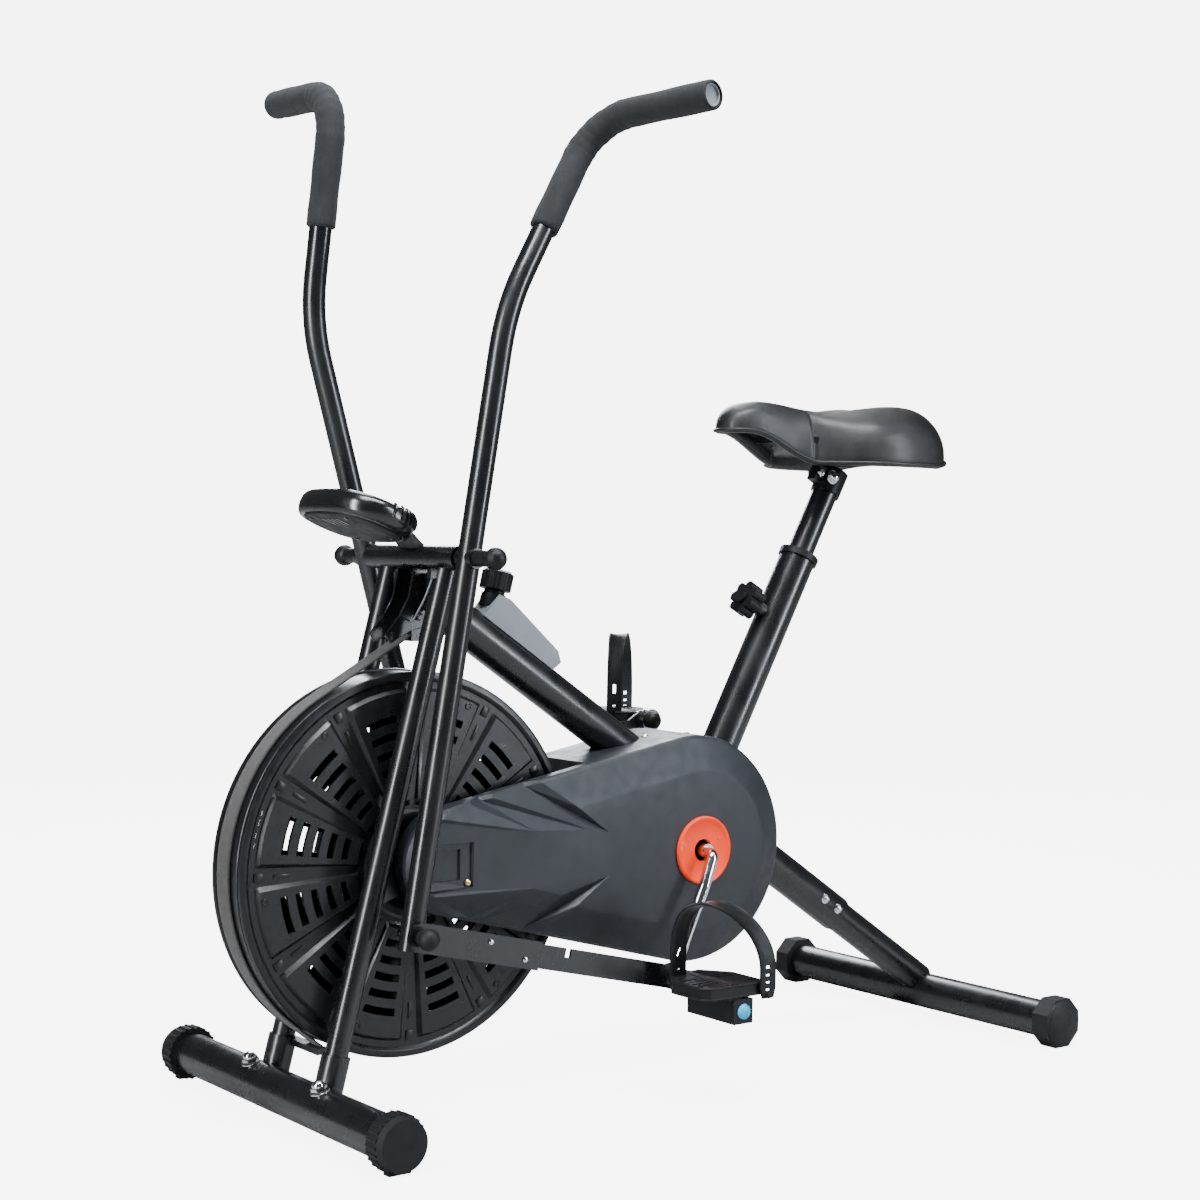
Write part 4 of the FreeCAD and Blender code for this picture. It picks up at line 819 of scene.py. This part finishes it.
def make_case_left():
    bm = bmesh.new()
    draw_case_face().mesh(bm, LEFT_FACE_Y, 1)
    nose_y, seam_y = -55, -0.25
    top = [edge_point(x, 0, True)
           for x in (-320, -300, -281, -266, -213, -196, CASE_CUT - 0.01, CASE_CUT + 0.01)]
    bottom = [edge_point(x, 0, False)
              for x in (CASE_CUT + 0.01, CASE_CUT - 0.01, -196, -214, -283, -300, -320)]
    rear, nose = rear_arc(0), nose_arc(0)
    loop = top + rear + bottom + nose
    creased = {-320: 11, -300: 14, -281: 23, -266: 17.5, -213: 26, -196: 20.6, -214: 26, -283: 17.5}
    body_depth = BEVEL_PROFILE[0][1]
    first_bottom, first_nose = len(top) + len(rear), len(loop) - len(nose)

    def depth_at(p, index):
        if index < 6 or first_bottom <= index < first_nose:
            for x, depth in creased.items():
                if abs(p.x - x) < 0.5:
                    return depth
        return 9 if p.x < -330 and index >= first_nose else body_depth

    front = [mm(p.x, LEFT_FACE_Y + depth_at(p, i), p.y) for i, p in enumerate(loop)]
    back = [mm(p.x, seam_y if p.x > CASE_CUT else nose_y, p.y) for p in loop]
    case_wall(bm, front, back)
    bm.faces.new([bm.verts.new(b) for b, p in zip(back, loop) if p.x <= CASE_CUT])
    z_top, z_low = edge_point(CASE_CUT, 0, True).y, edge_point(CASE_CUT, 0, False).y
    bm.faces.new([bm.verts.new(mm(CASE_CUT, y, z)) for y, z in
                  ((nose_y, z_top), (seam_y, z_top), (seam_y, z_low), (nose_y, z_low))])
    add_piece("chain_case_left", bm, "frame", CASE, "case_left", sharp=9, weld=3e-5)


def make_case_right():
    """Right half: the same wide bevel, with a square shoulder beside the fan."""
    face = Relief()
    for inset, depth in BEVEL_PROFILE:
        corner_x = CASE_CUT + inset * 0.5
        face.loop([edge_point(corner_x, inset, True)] + rear_arc(inset)
                  + [edge_point(corner_x, inset, False)], depth)
    face.loop(full_circle(AXLE_HOLE_R, 48), 0)
    # A shallow panel follows the bevel round the crank.
    for radius, depth in ((80, 0), (78.5, 1.2), (60, 1.2), (58.5, 0)):
        face.loop(full_circle(radius, 60), depth)
    bm = bmesh.new()
    face.mesh(bm, RIGHT_FACE_Y, -1)
    outline = [edge_point(CASE_CUT, 0, True)] + rear_arc(0) + [edge_point(CASE_CUT, 0, False)]
    case_wall(bm, [mm(p.x, RIGHT_FACE_Y - BEVEL_PROFILE[0][1], p.y) for p in outline],
              [mm(p.x, 0.25, p.y) for p in outline])
    add_piece("chain_case_right", bm, "frame", CASE, "case_right", sharp=9, weld=3e-5)
    screws = bmesh.new()
    for turn in (60, 150, 235, 300):
        t = radians(turn)
        spot = mm(CASE_REAR.x + 92 * cos(t), RIGHT_FACE_Y - 0.2, CASE_REAR.y + 92 * sin(t))
        lathe(screws, spot, Y, screw_head(4, 1, 3, 2.1, 2.4, 1.4), 24)
    add_piece("case_right_screws", screws, "frame", BRASS, sharp=30)


def make_trims():
    """Orange dished ring round each crank, with three small screws."""
    bm = bmesh.new()
    dish = [(14.2, -5), (14.2, 0.6), (15.0, 1.2), (24, 1.5), (36, 2.6), (38.5, 3.6), (40, 4.6), (42, 5.0),
            (43.5, 4.4), (44, 3.2), (44, 0.05), (43, -0.4), (36, -1.2)]
    for side, face_y in ((-1, LEFT_FACE_Y), (1, RIGHT_FACE_Y)):
        lathe(bm, CRANK + mm(0, face_y, 0), Y * side, dish, 72, caps=False)
        for t in [tau * (i + 0.25) / 3 for i in range(3)]:
            spot = CRANK + mm(29 * cos(t), face_y + side * 1.7, 29 * sin(t))
            lathe(bm, spot, Y * side, [(0, -0.5), (2.6, -0.5), (2.6, 0.7), (2, 1.1), (0, 0.8)], 16)
    add_piece("crank_trim_rings", bm, "frame", ORANGE, "crank_trims", sharp=30)


make_case_left()
make_case_right()
make_trims()


# ---------------- fan wheel and strap

WHEEL_FACES = ((-35.2, -1), (25.2, 1))
WHEEL_RELIEF = 4.8
PANELS = 12
PANEL_INNER, PANEL_OUTER = 70, 214
# Shares of a panel's width; the slots take the four bands from SLOT_FIRST to SLOT_LAST.
PANEL_MARKS = [0, 0.10, 0.125, 0.15, 0.26, 0.38, 0.5, 0.62, 0.74, 0.85, 0.875, 0.90, 1.0]
SLOT_FIRST, SLOT_LAST = 4, 7
SLOT_DEPTH = 4.5


def polar(radius, turn, y):
    return FAN + mm(radius * cos(turn), y, radius * sin(turn))


def panel_height(share, radius):
    """Height of a panel's face: full in the middle, half on its shoulders, none between the panels."""
    if share <= 0.1001 or share >= 0.8999:
        return 0
    edge = 0.5 if abs(abs(share - 0.5) - 0.375) < 0.001 else 1
    rise = step(radius, PANEL_INNER + 3, PANEL_INNER + 6)
    return WHEEL_RELIEF * edge * rise * (1 - step(radius, PANEL_OUTER - 7, PANEL_OUTER - 4))


def wheel_plate(bm, y_face, side):
    """One moulded face: twelve raised panels, each with five slots."""
    slots = [(96 + 20 * i - 4.6, 96 + 20 * i + 4.6) for i in range(5)]
    radii = [PANEL_INNER + (PANEL_OUTER - PANEL_INNER) * i / 36 for i in range(37)]
    radii = sorted({r for r in radii if all(not a - 1.5 < r < b + 1.5 for a, b in slots)}
                   | {r for pair in slots for r in pair})
    spread = tau / PANELS
    for k in range(PANELS):
        grid = [[bm.verts.new(polar(r, spread * (k + share), y_face + side * panel_height(share, r)))
                 for share in PANEL_MARKS] for r in radii]
        for i, (low, high) in enumerate(zip(radii, radii[1:])):
            in_slot = any(abs(low - a) < 0.01 and abs(high - b) < 0.01 for a, b in slots)
            for j in range(len(PANEL_MARKS) - 1):
                corners = (grid[i][j], grid[i][j + 1], grid[i + 1][j + 1], grid[i + 1][j])
                if in_slot and SLOT_FIRST <= j <= SLOT_LAST:
                    slot_walls(bm, corners, j == SLOT_FIRST, j == SLOT_LAST, side)
                else:
                    bm.faces.new(corners)


def slot_walls(bm, corners, first, last, side):
    """Walls of a slot: the two long sides always, a short one at each end."""
    a, b, c, d = corners
    sink = mm(0, -side * SLOT_DEPTH, 0)
    for p, q in [(a, b), (c, d)] + [(d, a)] * first + [(b, c)] * last:
        bm.faces.new((p, q, bm.verts.new(q.co + sink), bm.verts.new(p.co + sink)))


def make_fan_wheel():
    near, far = (y for y, _ in WHEEL_FACES)
    bm = bmesh.new()

    def ring_strip(profile):
        loft(bm, [[polar(r, t, y) for t in turns(144)] for r, y in profile], caps=False)

    for y, side in WHEEL_FACES:
        wheel_plate(bm, y, side)
    # Hub dishes, then the rim with its grooves and the band the strap runs on.
    for y, side in WHEEL_FACES:
        ring_strip([(r, y + side * lift) for r, lift in
                    ((70, 0), (66, 0.2), (62, 2.6), (56, 3.2), (50, 1.6), (46, -1.4), (30, -1.6), (24, 1.0),
                     (20.4, 1.4))])
    ring_strip([(r, near + lift) for r, lift in
                ((214, 0), (217.5, 0), (220, -2.8), (222, -3.9), (227.5, -3.9), (229.4, -3.2), (230, -1.8),
                 (230, 1.2), (229, 2.2), (224.0, 2.6), (223.5, 3.4), (223.5, 8.4), (224.2, 9.2), (226.8, 9.4),
                 (227.4, 10.2))]
               + [(r, far + lift) for r, lift in
                  ((227.4, -2.6), (228.2, -2.2), (229.6, -1.6), (230, -0.6), (230, 2.6), (229.4, 3.4),
                   (228, 3.9), (222, 3.9), (220, 2.8), (217.5, 0), (214, 0))])
    # Vanes stand between the two faces, behind the slots.
    for k in range(PANELS):
        turn = radians(30 * k)
        block(bm, polar(146, turn, (near + far) / 2), mm(140, 58, 3), Matrix.Rotation(-turn, 3, "Y"))
    add_piece("fan_wheel_body", bm, "fan", WHEEL, "fan_wheel", sharp=24, weld=2e-6)

    # Screw seats on every second panel, and two short bars in each gap.
    small = bmesh.new()
    for y, side in WHEEL_FACES:
        for k in range(PANELS):
            if k % 2 == 0:
                lathe(small, polar(200, radians(30 * k + 8), y + side * WHEEL_RELIEF), Y * side,
                      [(0, -1), (4.6, -1), (4.6, 0.8), (3.8, 1.4), (3.0, 1.4), (2.6, 0.4), (0, 0.4)], 20)
            gap = radians(30 * k)
            for radius, lift, size, bevel in ((176, 0.5, mm(20, 1.6, 4.2), 0.0006),
                                              (205, 0.6, mm(12, 2, 10), 0.0008)):
                block(small, polar(radius, gap, y + side * lift), size, Matrix.Rotation(-gap, 3, "Y"), bevel)
    add_piece("fan_wheel_details", small, "fan", WHEEL, sharp=30)


make_fan_wheel()


def slab_grid(bm, top, bottom, hole=lambda i, j: False):
    """Thin slab between two grids of points, with walls round its rim and round every hole."""
    upper = [[bm.verts.new(p) for p in row] for row in top]
    lower = [[bm.verts.new(p) for p in row] for row in bottom]
    rows, cols = len(top) - 1, len(top[0]) - 1

    def solid(i, j):
        return 0 <= i < rows and 0 <= j < cols and not hole(i, j)

    for i in range(rows):
        for j in range(cols):
            if not solid(i, j):
                continue
            bm.faces.new((upper[i][j], upper[i][j + 1], upper[i + 1][j + 1], upper[i + 1][j]))
            bm.faces.new((lower[i][j], lower[i + 1][j], lower[i + 1][j + 1], lower[i][j + 1]))
            sides = (((i - 1, j), (i, j), (i, j + 1)), ((i + 1, j), (i + 1, j + 1), (i + 1, j)),
                     ((i, j - 1), (i + 1, j), (i, j)), ((i, j + 1), (i, j + 1), (i + 1, j + 1)))
            for beside, (a, b), (c, d) in sides:
                if not solid(*beside):
                    bm.faces.new((upper[a][b], upper[c][d], lower[c][d], lower[a][b]))


def make_brake_strap():
    """Woven friction belt: a straight run from its bracket, round the front of the rim, and a tail."""
    radius, thick = 228.3, 2.6
    first, last = radians(120), radians(232)
    run, tail = 146, 50

    def on(angle):
        return Vector((cos(angle), 0, sin(angle)))

    start_dir = Vector((sin(first), 0, -cos(first)))
    end_dir = Vector((-sin(last), 0, cos(last)))
    path = [(on(first) * radius + start_dir * run * (1 - i / 30), on(first)) for i in range(31)]
    for angle in [first + (last - first) * i / 90 for i in range(1, 90)]:
        path.append((on(angle) * radius, on(angle)))
    path += [(on(last) * radius + end_dir * tail * i / 10, on(last)) for i in range(11)]
    section = ((-12, 0.9), (-11.3, 0.35), (-9.5, 0), (-4, 0), (2, 0), (8, 0), (13.5, 0), (15.3, 0.35),
               (16, 0.9))
    top, bottom = [], []
    for i, (spot, out) in enumerate(path):
        waver = 0.25 * sin(i * 0.55) if i < 24 else 0
        top.append([FAN + (spot + out * (thick - c) + Y * (w + waver)) / 1000 for w, c in section])
        bottom.append([FAN + (spot + out * c * 0.4 + Y * (w + waver)) / 1000 for w, c in section])
    bm = bmesh.new()
    slab_grid(bm, top, bottom)
    add_piece("friction_strap", bm, "frame", WEBBING, "brake_strap", sharp=50)

    # The belt's tail runs on from the bracket up to the head of the frame.
    start = FAN + (on(first) * (radius + 1) + start_dir * (run - 3)) / 1000
    route = smooth_open([start + Y * 0.002, start + mm(10, 1, 20), mm(-352, 8, 575), mm(-336, 10, 596),
                         mm(-322, 8, 604)], 8)
    frames = frames_along(route, Y)
    top, bottom = ([[p + u * w / 1000 + v * half for w in (-9, -8, 0, 8, 9)]
                    for p, (u, v) in zip(route, frames)] for half in (0.0012, -0.0012))
    bm = bmesh.new()
    slab_grid(bm, top, bottom)
    add_piece("friction_strap_tail", bm, "frame", WEBBING, sharp=50)


make_brake_strap()


# ---------------- pedals

def make_pedal_strap(name, side, pin, front_x, rear_x, rise):
    """Moulded foot strap: it stands along the pedal's front, arches over and twists to its outer side."""
    start, end = Vector((front_x, side * 160, 0)), Vector((rear_x, side * 249, 0))
    stations, straight = 72, 0.16
    spring, foot = 24, -10
    points = []
    for share in [i / stations for i in range(stations + 1)]:
        if share < straight:
            points.append(start + Z * (foot + (spring - foot) * share / straight))
        elif share > 1 - straight:
            points.append(end + Z * (foot + (spring - foot) * (1 - share) / straight))
        else:
            # The arch leans: its crown stands a third of the way along.
            reach = (1 - cos(pi * (share - straight) / (1 - 2 * straight))) / 2
            lean = reach ** 0.66
            arch = sqrt(max(4 * lean * (1 - lean), 0))
            points.append(start.lerp(end, reach) + Z * (spring + (rise - spring) * arch))
    # Share of the half width and half thickness: a raised rib runs along each edge.
    section = ((-1, 1.0), (-0.93, 1.9), (-0.8, 1.35), (-0.3, 1.35), (0.3, 1.35), (0.8, 1.35), (0.93, 1.9),
               (1, 1.0))
    top, bottom = [], []
    for i, p in enumerate(points):
        tangent = (points[min(i + 1, stations)] - points[max(i - 1, 0)]).normalized()
        wide = (X - tangent * X.dot(tangent)).normalized()
        normal = tangent.cross(wide).normalized()
        half = 12.5 * (0.72 + 0.28 * min(min(i, stations - i) / 4, 1))
        top.append([pin + (p + wide * half * c + normal * r) / 1000 for c, r in section])
        bottom.append([pin + (p + wide * half * c - normal * r) / 1000 for c, r in section])
    holes = (3, 6, 9, 12, 59, 62, 65, 68)
    bm = bmesh.new()
    slab_grid(bm, top, bottom, lambda i, j: j == 3 and i in holes)
    for index in (1, stations - 1):
        spot = (top[index][3] + top[index][4]) / 2
        under = (bottom[index][3] + bottom[index][4]) / 2
        for axis in (spot - under, under - spot):
            lathe(bm, (spot + under) / 2, axis, stud(3.4, 3.2, 2.4, 4.2, 4.4), 16)
    add_piece("foot_strap_" + name, bm, name + "_pedal", PLASTIC,
              "pedal_strap_" + name, sharp=40)


def make_pedal_trim(name, side, pin):
    """Rounded edge round the deck, its pegs, and the end cap."""
    top, bottom = 10, -5
    half, nose = 49, 20
    plan = [(nose, 146.6), (half - 0.8, 182), (half - 0.8, 236), (half - 9.4, 244.2), (-half + 9.4, 244.2),
            (-half + 0.8, 236), (-half + 0.8, 182), (-nose, 146.6)]
    bm = bmesh.new()
    for height in (top - 0.9, bottom + 0.9):
        route = rounded_route([pin + mm(x, side * y, height) for x, y in plan], 0.006, 4)
        tube(bm, route, [0.0017] * len(route), steps=10)
    for x in (-40, 40):
        lathe(bm, pin + mm(x, side * 225, top), Z, stud(3, 1.2, 2, 2, 2), 16)
    add_piece("pedal_edges_" + name, bm, name + "_pedal", CAPS, sharp=40)
    bm = bmesh.new()
    lathe(bm, pin + mm(11, side * 246, -23), Y * side,
          [(0, -1), (9.4, -1), (9.4, 1.2), (8.6, 3.2), (6.2, 4.7), (3, 5.4), (0, 5.6)], 36)
    add_piece("pedal_end_cap_" + name, bm, name + "_pedal", BLUE, "pedal_cap_" + name,
              sharp=50)


make_pedal_strap("left", -1, LEFT_PIN, -22, 47, 102)
make_pedal_trim("left", -1, LEFT_PIN)
make_pedal_strap("right", 1, RIGHT_PIN, -32, 58, 116)
make_pedal_trim("right", 1, RIGHT_PIN)


# ---------------- ball caps, bolts and screws

def ball_cap(bm, origin, axis, radius, neck, reach):
    """Round knob on a short neck. Sizes in millimetres."""
    centre = reach + radius * 0.86
    first = asin(neck / radius)
    bow = [(radius * sin(t), centre - radius * cos(t))
           for t in [first + (pi - first) * i / 18 for i in range(18)]]
    lathe(bm, origin, axis, [(0, 0), (neck * 1.12, 0), (neck * 1.12, reach * 0.4), (neck, reach * 0.6)] + bow
          + [(0, centre + radius)], 36)


def make_rod_caps(name, side, lean, pin):
    """Ball cap over the link rod's front eye, and the two rivets behind it."""
    eye = arm_point(-439, 0, 0, lean)
    line = (pin - eye).normalized()
    lift = Vector((-line.z, 0, line.x))
    outside = eye + Y * side * 0.1364
    bm = bmesh.new()
    ball_cap(bm, outside, Y * side, 12.8, 8, 3)
    add_piece("rod_ball_" + name, bm, name + "_rod", CAPS, sharp=40)
    bm = bmesh.new()
    for along, up in ((0.096, 0.008), (0.150, -0.006)):
        dome_nut(bm, outside + line * along + lift * up, Y * side, 5.2, 3.6, 3.4)
    add_piece("rod_rivets_" + name, bm, name + "_rod", CHROME, "rod_caps_" + name, sharp=30)


def make_frame_bolts():
    """Two through bolts at the foot of the main tube, and the two on the front stabilizer."""
    bm = bmesh.new()
    socket_end = TUBE_TOP + TUBE_AXIS * ((0.380 - TUBE_TOP.x) / TUBE_AXIS.x)
    for back in (0.022, 0.052):
        for side in (-1, 1):
            dome_nut(bm, socket_end - TUBE_AXIS * back + Y * side * 0.0248, Y * side, 9.5, 7.2, 6.8)
    tilt = Vector((-0.30, 0, 0.954))
    for y in (-94, 68):
        dome_nut(bm, mm(-503, y, 33) + tilt * 0.0245, tilt, 16.5, 14, 11.5)
    add_piece("frame_nuts", bm, "frame", CHROME, "frame_bolts", sharp=30)


def make_case_screws():
    bm = bmesh.new()
    for place in (mm(-379, -86.2, 296), mm(-306, -82.2, 273.5)):
        lathe(bm, place, -Y, screw_head(4.2, 1.2, 3.0, 2.4, 2.7, 1.6), 24)
    for x in (20, 92):
        top = CASE_REAR.y + sqrt(CASE_REAR_R ** 2 - (x - CASE_REAR.x) ** 2)
        out = Vector((x - CASE_REAR.x, 0, top - CASE_REAR.y))
        lathe(bm, mm(x, -9, top - 0.4), out, screw_head(4.8, 1.2, 3.4, 2.6, 3.0, 1.8), 24)
    add_piece("case_screw_heads", bm, "frame", BRASS, "case_screws", sharp=30)


make_rod_caps("left", -1, LEFT_ARM_LEAN, LEFT_PIN)
make_rod_caps("right", 1, RIGHT_ARM_LEAN, RIGHT_PIN)
make_frame_bolts()
make_case_screws()


# ---------------- console

POD = mm(-417, 0, 706)
POD_TURN = Matrix.Rotation(radians(20), 3, "Y")
POD_UP = POD_TURN @ Z
POD_HALF_LENGTH, POD_HALF_WIDTH = 57, 84


def on_pod(local):
    """Place of a point given in millimetres in the pod's own axes."""
    return POD + POD_TURN @ local / 1000


def pod_oval(t, scale=1.0, z=0.0):
    """Point of the pod's rounded oval outline."""
    c, s = cos(t), sin(t)
    return Vector((POD_HALF_LENGTH * scale * copysign(abs(c) ** 0.8, c),
                   POD_HALF_WIDTH * scale * copysign(abs(s) ** 0.8, s), z))


def pod_skin(name, profile, material, replaced):
    bm = bmesh.new()
    loft(bm, [[on_pod(pod_oval(t, scale, z)) for t in turns(72)] for scale, z in profile], caps=False)
    add_piece(name, bm, "frame", material, replaced, sharp=40)


def make_console():
    pod_skin("console_shell",
             ((0.855, -12.6), (0.90, -13.2), (0.945, -11.6), (0.98, -7.6), (0.998, -2), (1.0, 3), (0.985, 9),
              (0.95, 13.2), (0.90, 15.6), (0.85, 16.4), (0.80, 16.4), (0.79, 15.6), (0.775, 15.2),
              (0.3, 15.2), (0.0, 15.2)), GLOSSY, "console_case")
    pod_skin("console_underside",
             ((0.0, -15.6), (0.5, -15.6), (0.80, -15.4), (0.835, -14.6), (0.85, -12.0), (0.86, -11.0)),
             CAPS, "console_back")
    # Grip ribs over both ends, screws and vent bars underneath.
    ribs = bmesh.new()
    for side in (-1, 1):
        for i in range(7):
            t = radians(side * (90 - (i - 3) * 8 - 24))
            out = Vector((cos(t) / POD_HALF_LENGTH, sin(t) / POD_HALF_WIDTH, 0)).normalized()
            path = [on_pod(pod_oval(t) + out * o + Z * z)
                    for o, z in ((-0.3, -1), (0.8, 3), (0.5, 8), (-1.4, 12), (-4.6, 15.4), (-7, 16.2))]
            tube(ribs, smooth_open(path, 3), [0.0014] * 16, steps=8)
    for x, y in ((-34, -40), (-34, 40), (34, -40), (34, 40)):
        lathe(ribs, on_pod(Vector((x, y, -15.2))), -POD_UP, stud(3, 1, 2, 1.6, 1.6), 16)
    for y in (-16, -6, 4, 14):
        block(ribs, on_pod(Vector((-24, y, -15.7))), mm(20, 3.2, 0.8), POD_TURN, 0.0003)
    add_piece("console_ribs", ribs, "frame", GLOSSY, sharp=40)
    buttons = bmesh.new()
    for y in (-24, 24):
        lathe(buttons, on_pod(Vector((36, y, 15))), POD_UP, stud(6.2, 1.4, 5.2, 2.1, 2.3), 28)
    add_piece("console_key_pads", buttons, "frame", GREY, sharp=35)


make_console()


# ---------------- clamp bolt, head plates and knob collar

def make_clamp_bolt():
    """Hexagon heads with the bolt's ends, and the dome nut on the seat post's clamp."""
    low, high = (Vector(corner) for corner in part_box("seat_clamp_bolt"))
    middle = (low + high) / 2
    bm = bmesh.new()
    for side, end in ((-1, low.y), (1, high.y)):
        root = Vector((middle.x, end - side * 0.007, middle.z))
        hex_bolt(bm, root, Y * side, 12.5, 5.5)
        lathe(bm, root + Y * side * 0.005, Y * side, stud(3.6, 2.2, 3, 3, 3.2), 20)
    dome_nut(bm, middle + mm(11, -20.2, -5) - Y * middle.y, -Y, 15, 10, 10)
    add_piece("clamp_bolt_ends", bm, "seat_post", CHROME, "seat_clamp_bolt", sharp=30)


def make_head_plates():
    """Two side plates under the crossbar that carry the strap's bracket, and the main tube's end cap."""
    outline = [Vector(spot) for spot in ((-347, 646), (-306, 646), (-302, 602), (-322, 578), (-352, 570),
                                         (-378, 556), (-386, 566), (-366, 590), (-354, 612))]
    centre = Vector((-340, 602))
    bm = bmesh.new()
    for side in (-1, 1):
        rings = []
        for inset, y in ((1.0, 19.2), (0, 18.6), (0, 16.6), (1.0, 16.0)):
            ring = [spot - (spot - centre).normalized() * inset for spot in outline]
            rings.append([mm(spot.x, side * y, spot.y) for spot in ring])
        loft(bm, rings)
        for x, z in ((-322, 628), (-340, 588), (-376, 564)):
            hex_bolt(bm, mm(x, side * 19.2, z), Y * side, 8, 3.5, 5.5)
    lathe(bm, TUBE_TOP, -TUBE_AXIS, [(0, -1), (24.5, -1), (24.5, 0.6), (23.5, 1.6), (0, 1.8)], 48)
    add_piece("head_plates", bm, "frame", PAINT, sharp=30)


def make_tension_collar():
    """Fixed collar between the wedge housing and the underside of its knob."""
    low, high = (Vector(corner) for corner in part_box("tension_knob"))
    lean = Vector((0.2267, 0, 0.9740))
    bm = bmesh.new()
    lathe(bm, (low + high) / 2 - lean * 0.0115, -lean,
          [(0, 0), (12, 0), (13.2, 1.2), (13.2, 4), (15, 5), (16, 12), (16, 21), (0, 21)], 40)
    add_piece("tension_collar", bm, "frame", PLASTIC, sharp=35)


make_clamp_bolt()
make_head_plates()
make_tension_collar()


# ---------------- floor and light

def add_light(name, kind, energy):
    data = bpy.data.lights.new(name, kind)
    data.energy = energy
    return data, add_object(name, data)


def area_light(name, place, aim, size, power, color):
    data, lamp = add_light(name, "AREA", power)
    data.shape = "RECTANGLE"
    data.size, data.size_y = size
    data.color = color
    lamp.location = place
    lamp.rotation_mode = "QUATERNION"
    lamp.rotation_quaternion = (Vector(aim) - Vector(place)).to_track_quat("-Z", "Y")


def show_to_camera(tree, plain, seen, output):
    """Feeds an output with one shader for the camera's own rays and with another for all the rest."""
    pick = tree.nodes.new("ShaderNodeMixShader")
    tree.links.new(tree.nodes.new("ShaderNodeLightPath").outputs["Is Camera Ray"], pick.inputs[0])
    tree.links.new(plain.outputs[0], pick.inputs[1])
    tree.links.new(seen.outputs[0], pick.inputs[2])
    tree.links.new(pick.outputs[0], tree.nodes[output].inputs["Surface"])


def make_floor():
    """Pale floor that glows a little to the camera only, so that it meets the backdrop."""
    mesh = bpy.data.meshes.new("floor")
    mesh.from_pydata([(-30, -30, 0), (30, -30, 0), (30, 30, 0), (-30, 30, 0)], [], [(0, 1, 2, 3)])
    floor = add_object("floor", mesh)
    floor.location.z = -0.0005
    s = Shader("pale_floor")
    tone = s.noise(1.2, 3)
    s.bump(s.noise(400, 2), 0.05, 0.0005)
    mesh.materials.append(s.surface(s.blend(tone, (0.34, 0.34, 0.34), (0.37, 0.37, 0.37)),
                                    s.remap(tone, 0.3, 0.7, 0.65, 0.75)))
    glow = s.node("Emission", Strength=6.2)
    both = s.node("AddShader")
    s.tree.links.new(s.bsdf.outputs[0], both.inputs[0])
    s.tree.links.new(glow.outputs[0], both.inputs[1])
    show_to_camera(s.tree, s.bsdf, both, "Material Output")


def make_sky():
    """White backdrop for the camera, and a dim sky for the light on the object."""
    world = bpy.data.worlds.new("studio")
    bpy.context.scene.world = world
    world.use_nodes = True
    tree = world.node_tree
    dim, seen = tree.nodes["Background"], tree.nodes.new("ShaderNodeBackground")
    for sky, strength in ((dim, 0.09), (seen, 6.5)):
        sky.inputs["Color"].default_value = (1, 1, 1, 1)
        sky.inputs["Strength"].default_value = strength
    show_to_camera(tree, dim, seen, "World Output")


make_floor()
make_sky()
sun_data, sun = add_light("soft_sun", "SUN", 1.7)
sun_data.angle = radians(25)
sun.rotation_euler = (radians(-28), radians(18), 0)
area_light("overhead", (-0.3, -0.9, 2.9), (0, 0, 0.4), (2.4, 0.7), 190, (0.93, 0.96, 1))
area_light("left_strip", (-3.0, -0.4, 1.4), (-0.2, 0, 0.6), (0.4, 2.6), 150, (0.95, 0.97, 1))
area_light("right_strip", (1.9, -2.8, 1.5), (0.1, 0, 0.5), (0.35, 2.6), 120, (0.86, 0.92, 1))
area_light("rear_strip", (1.4, 2.4, 1.8), (0, 0, 0.6), (1.4, 1.0), 80, (0.88, 0.93, 1))
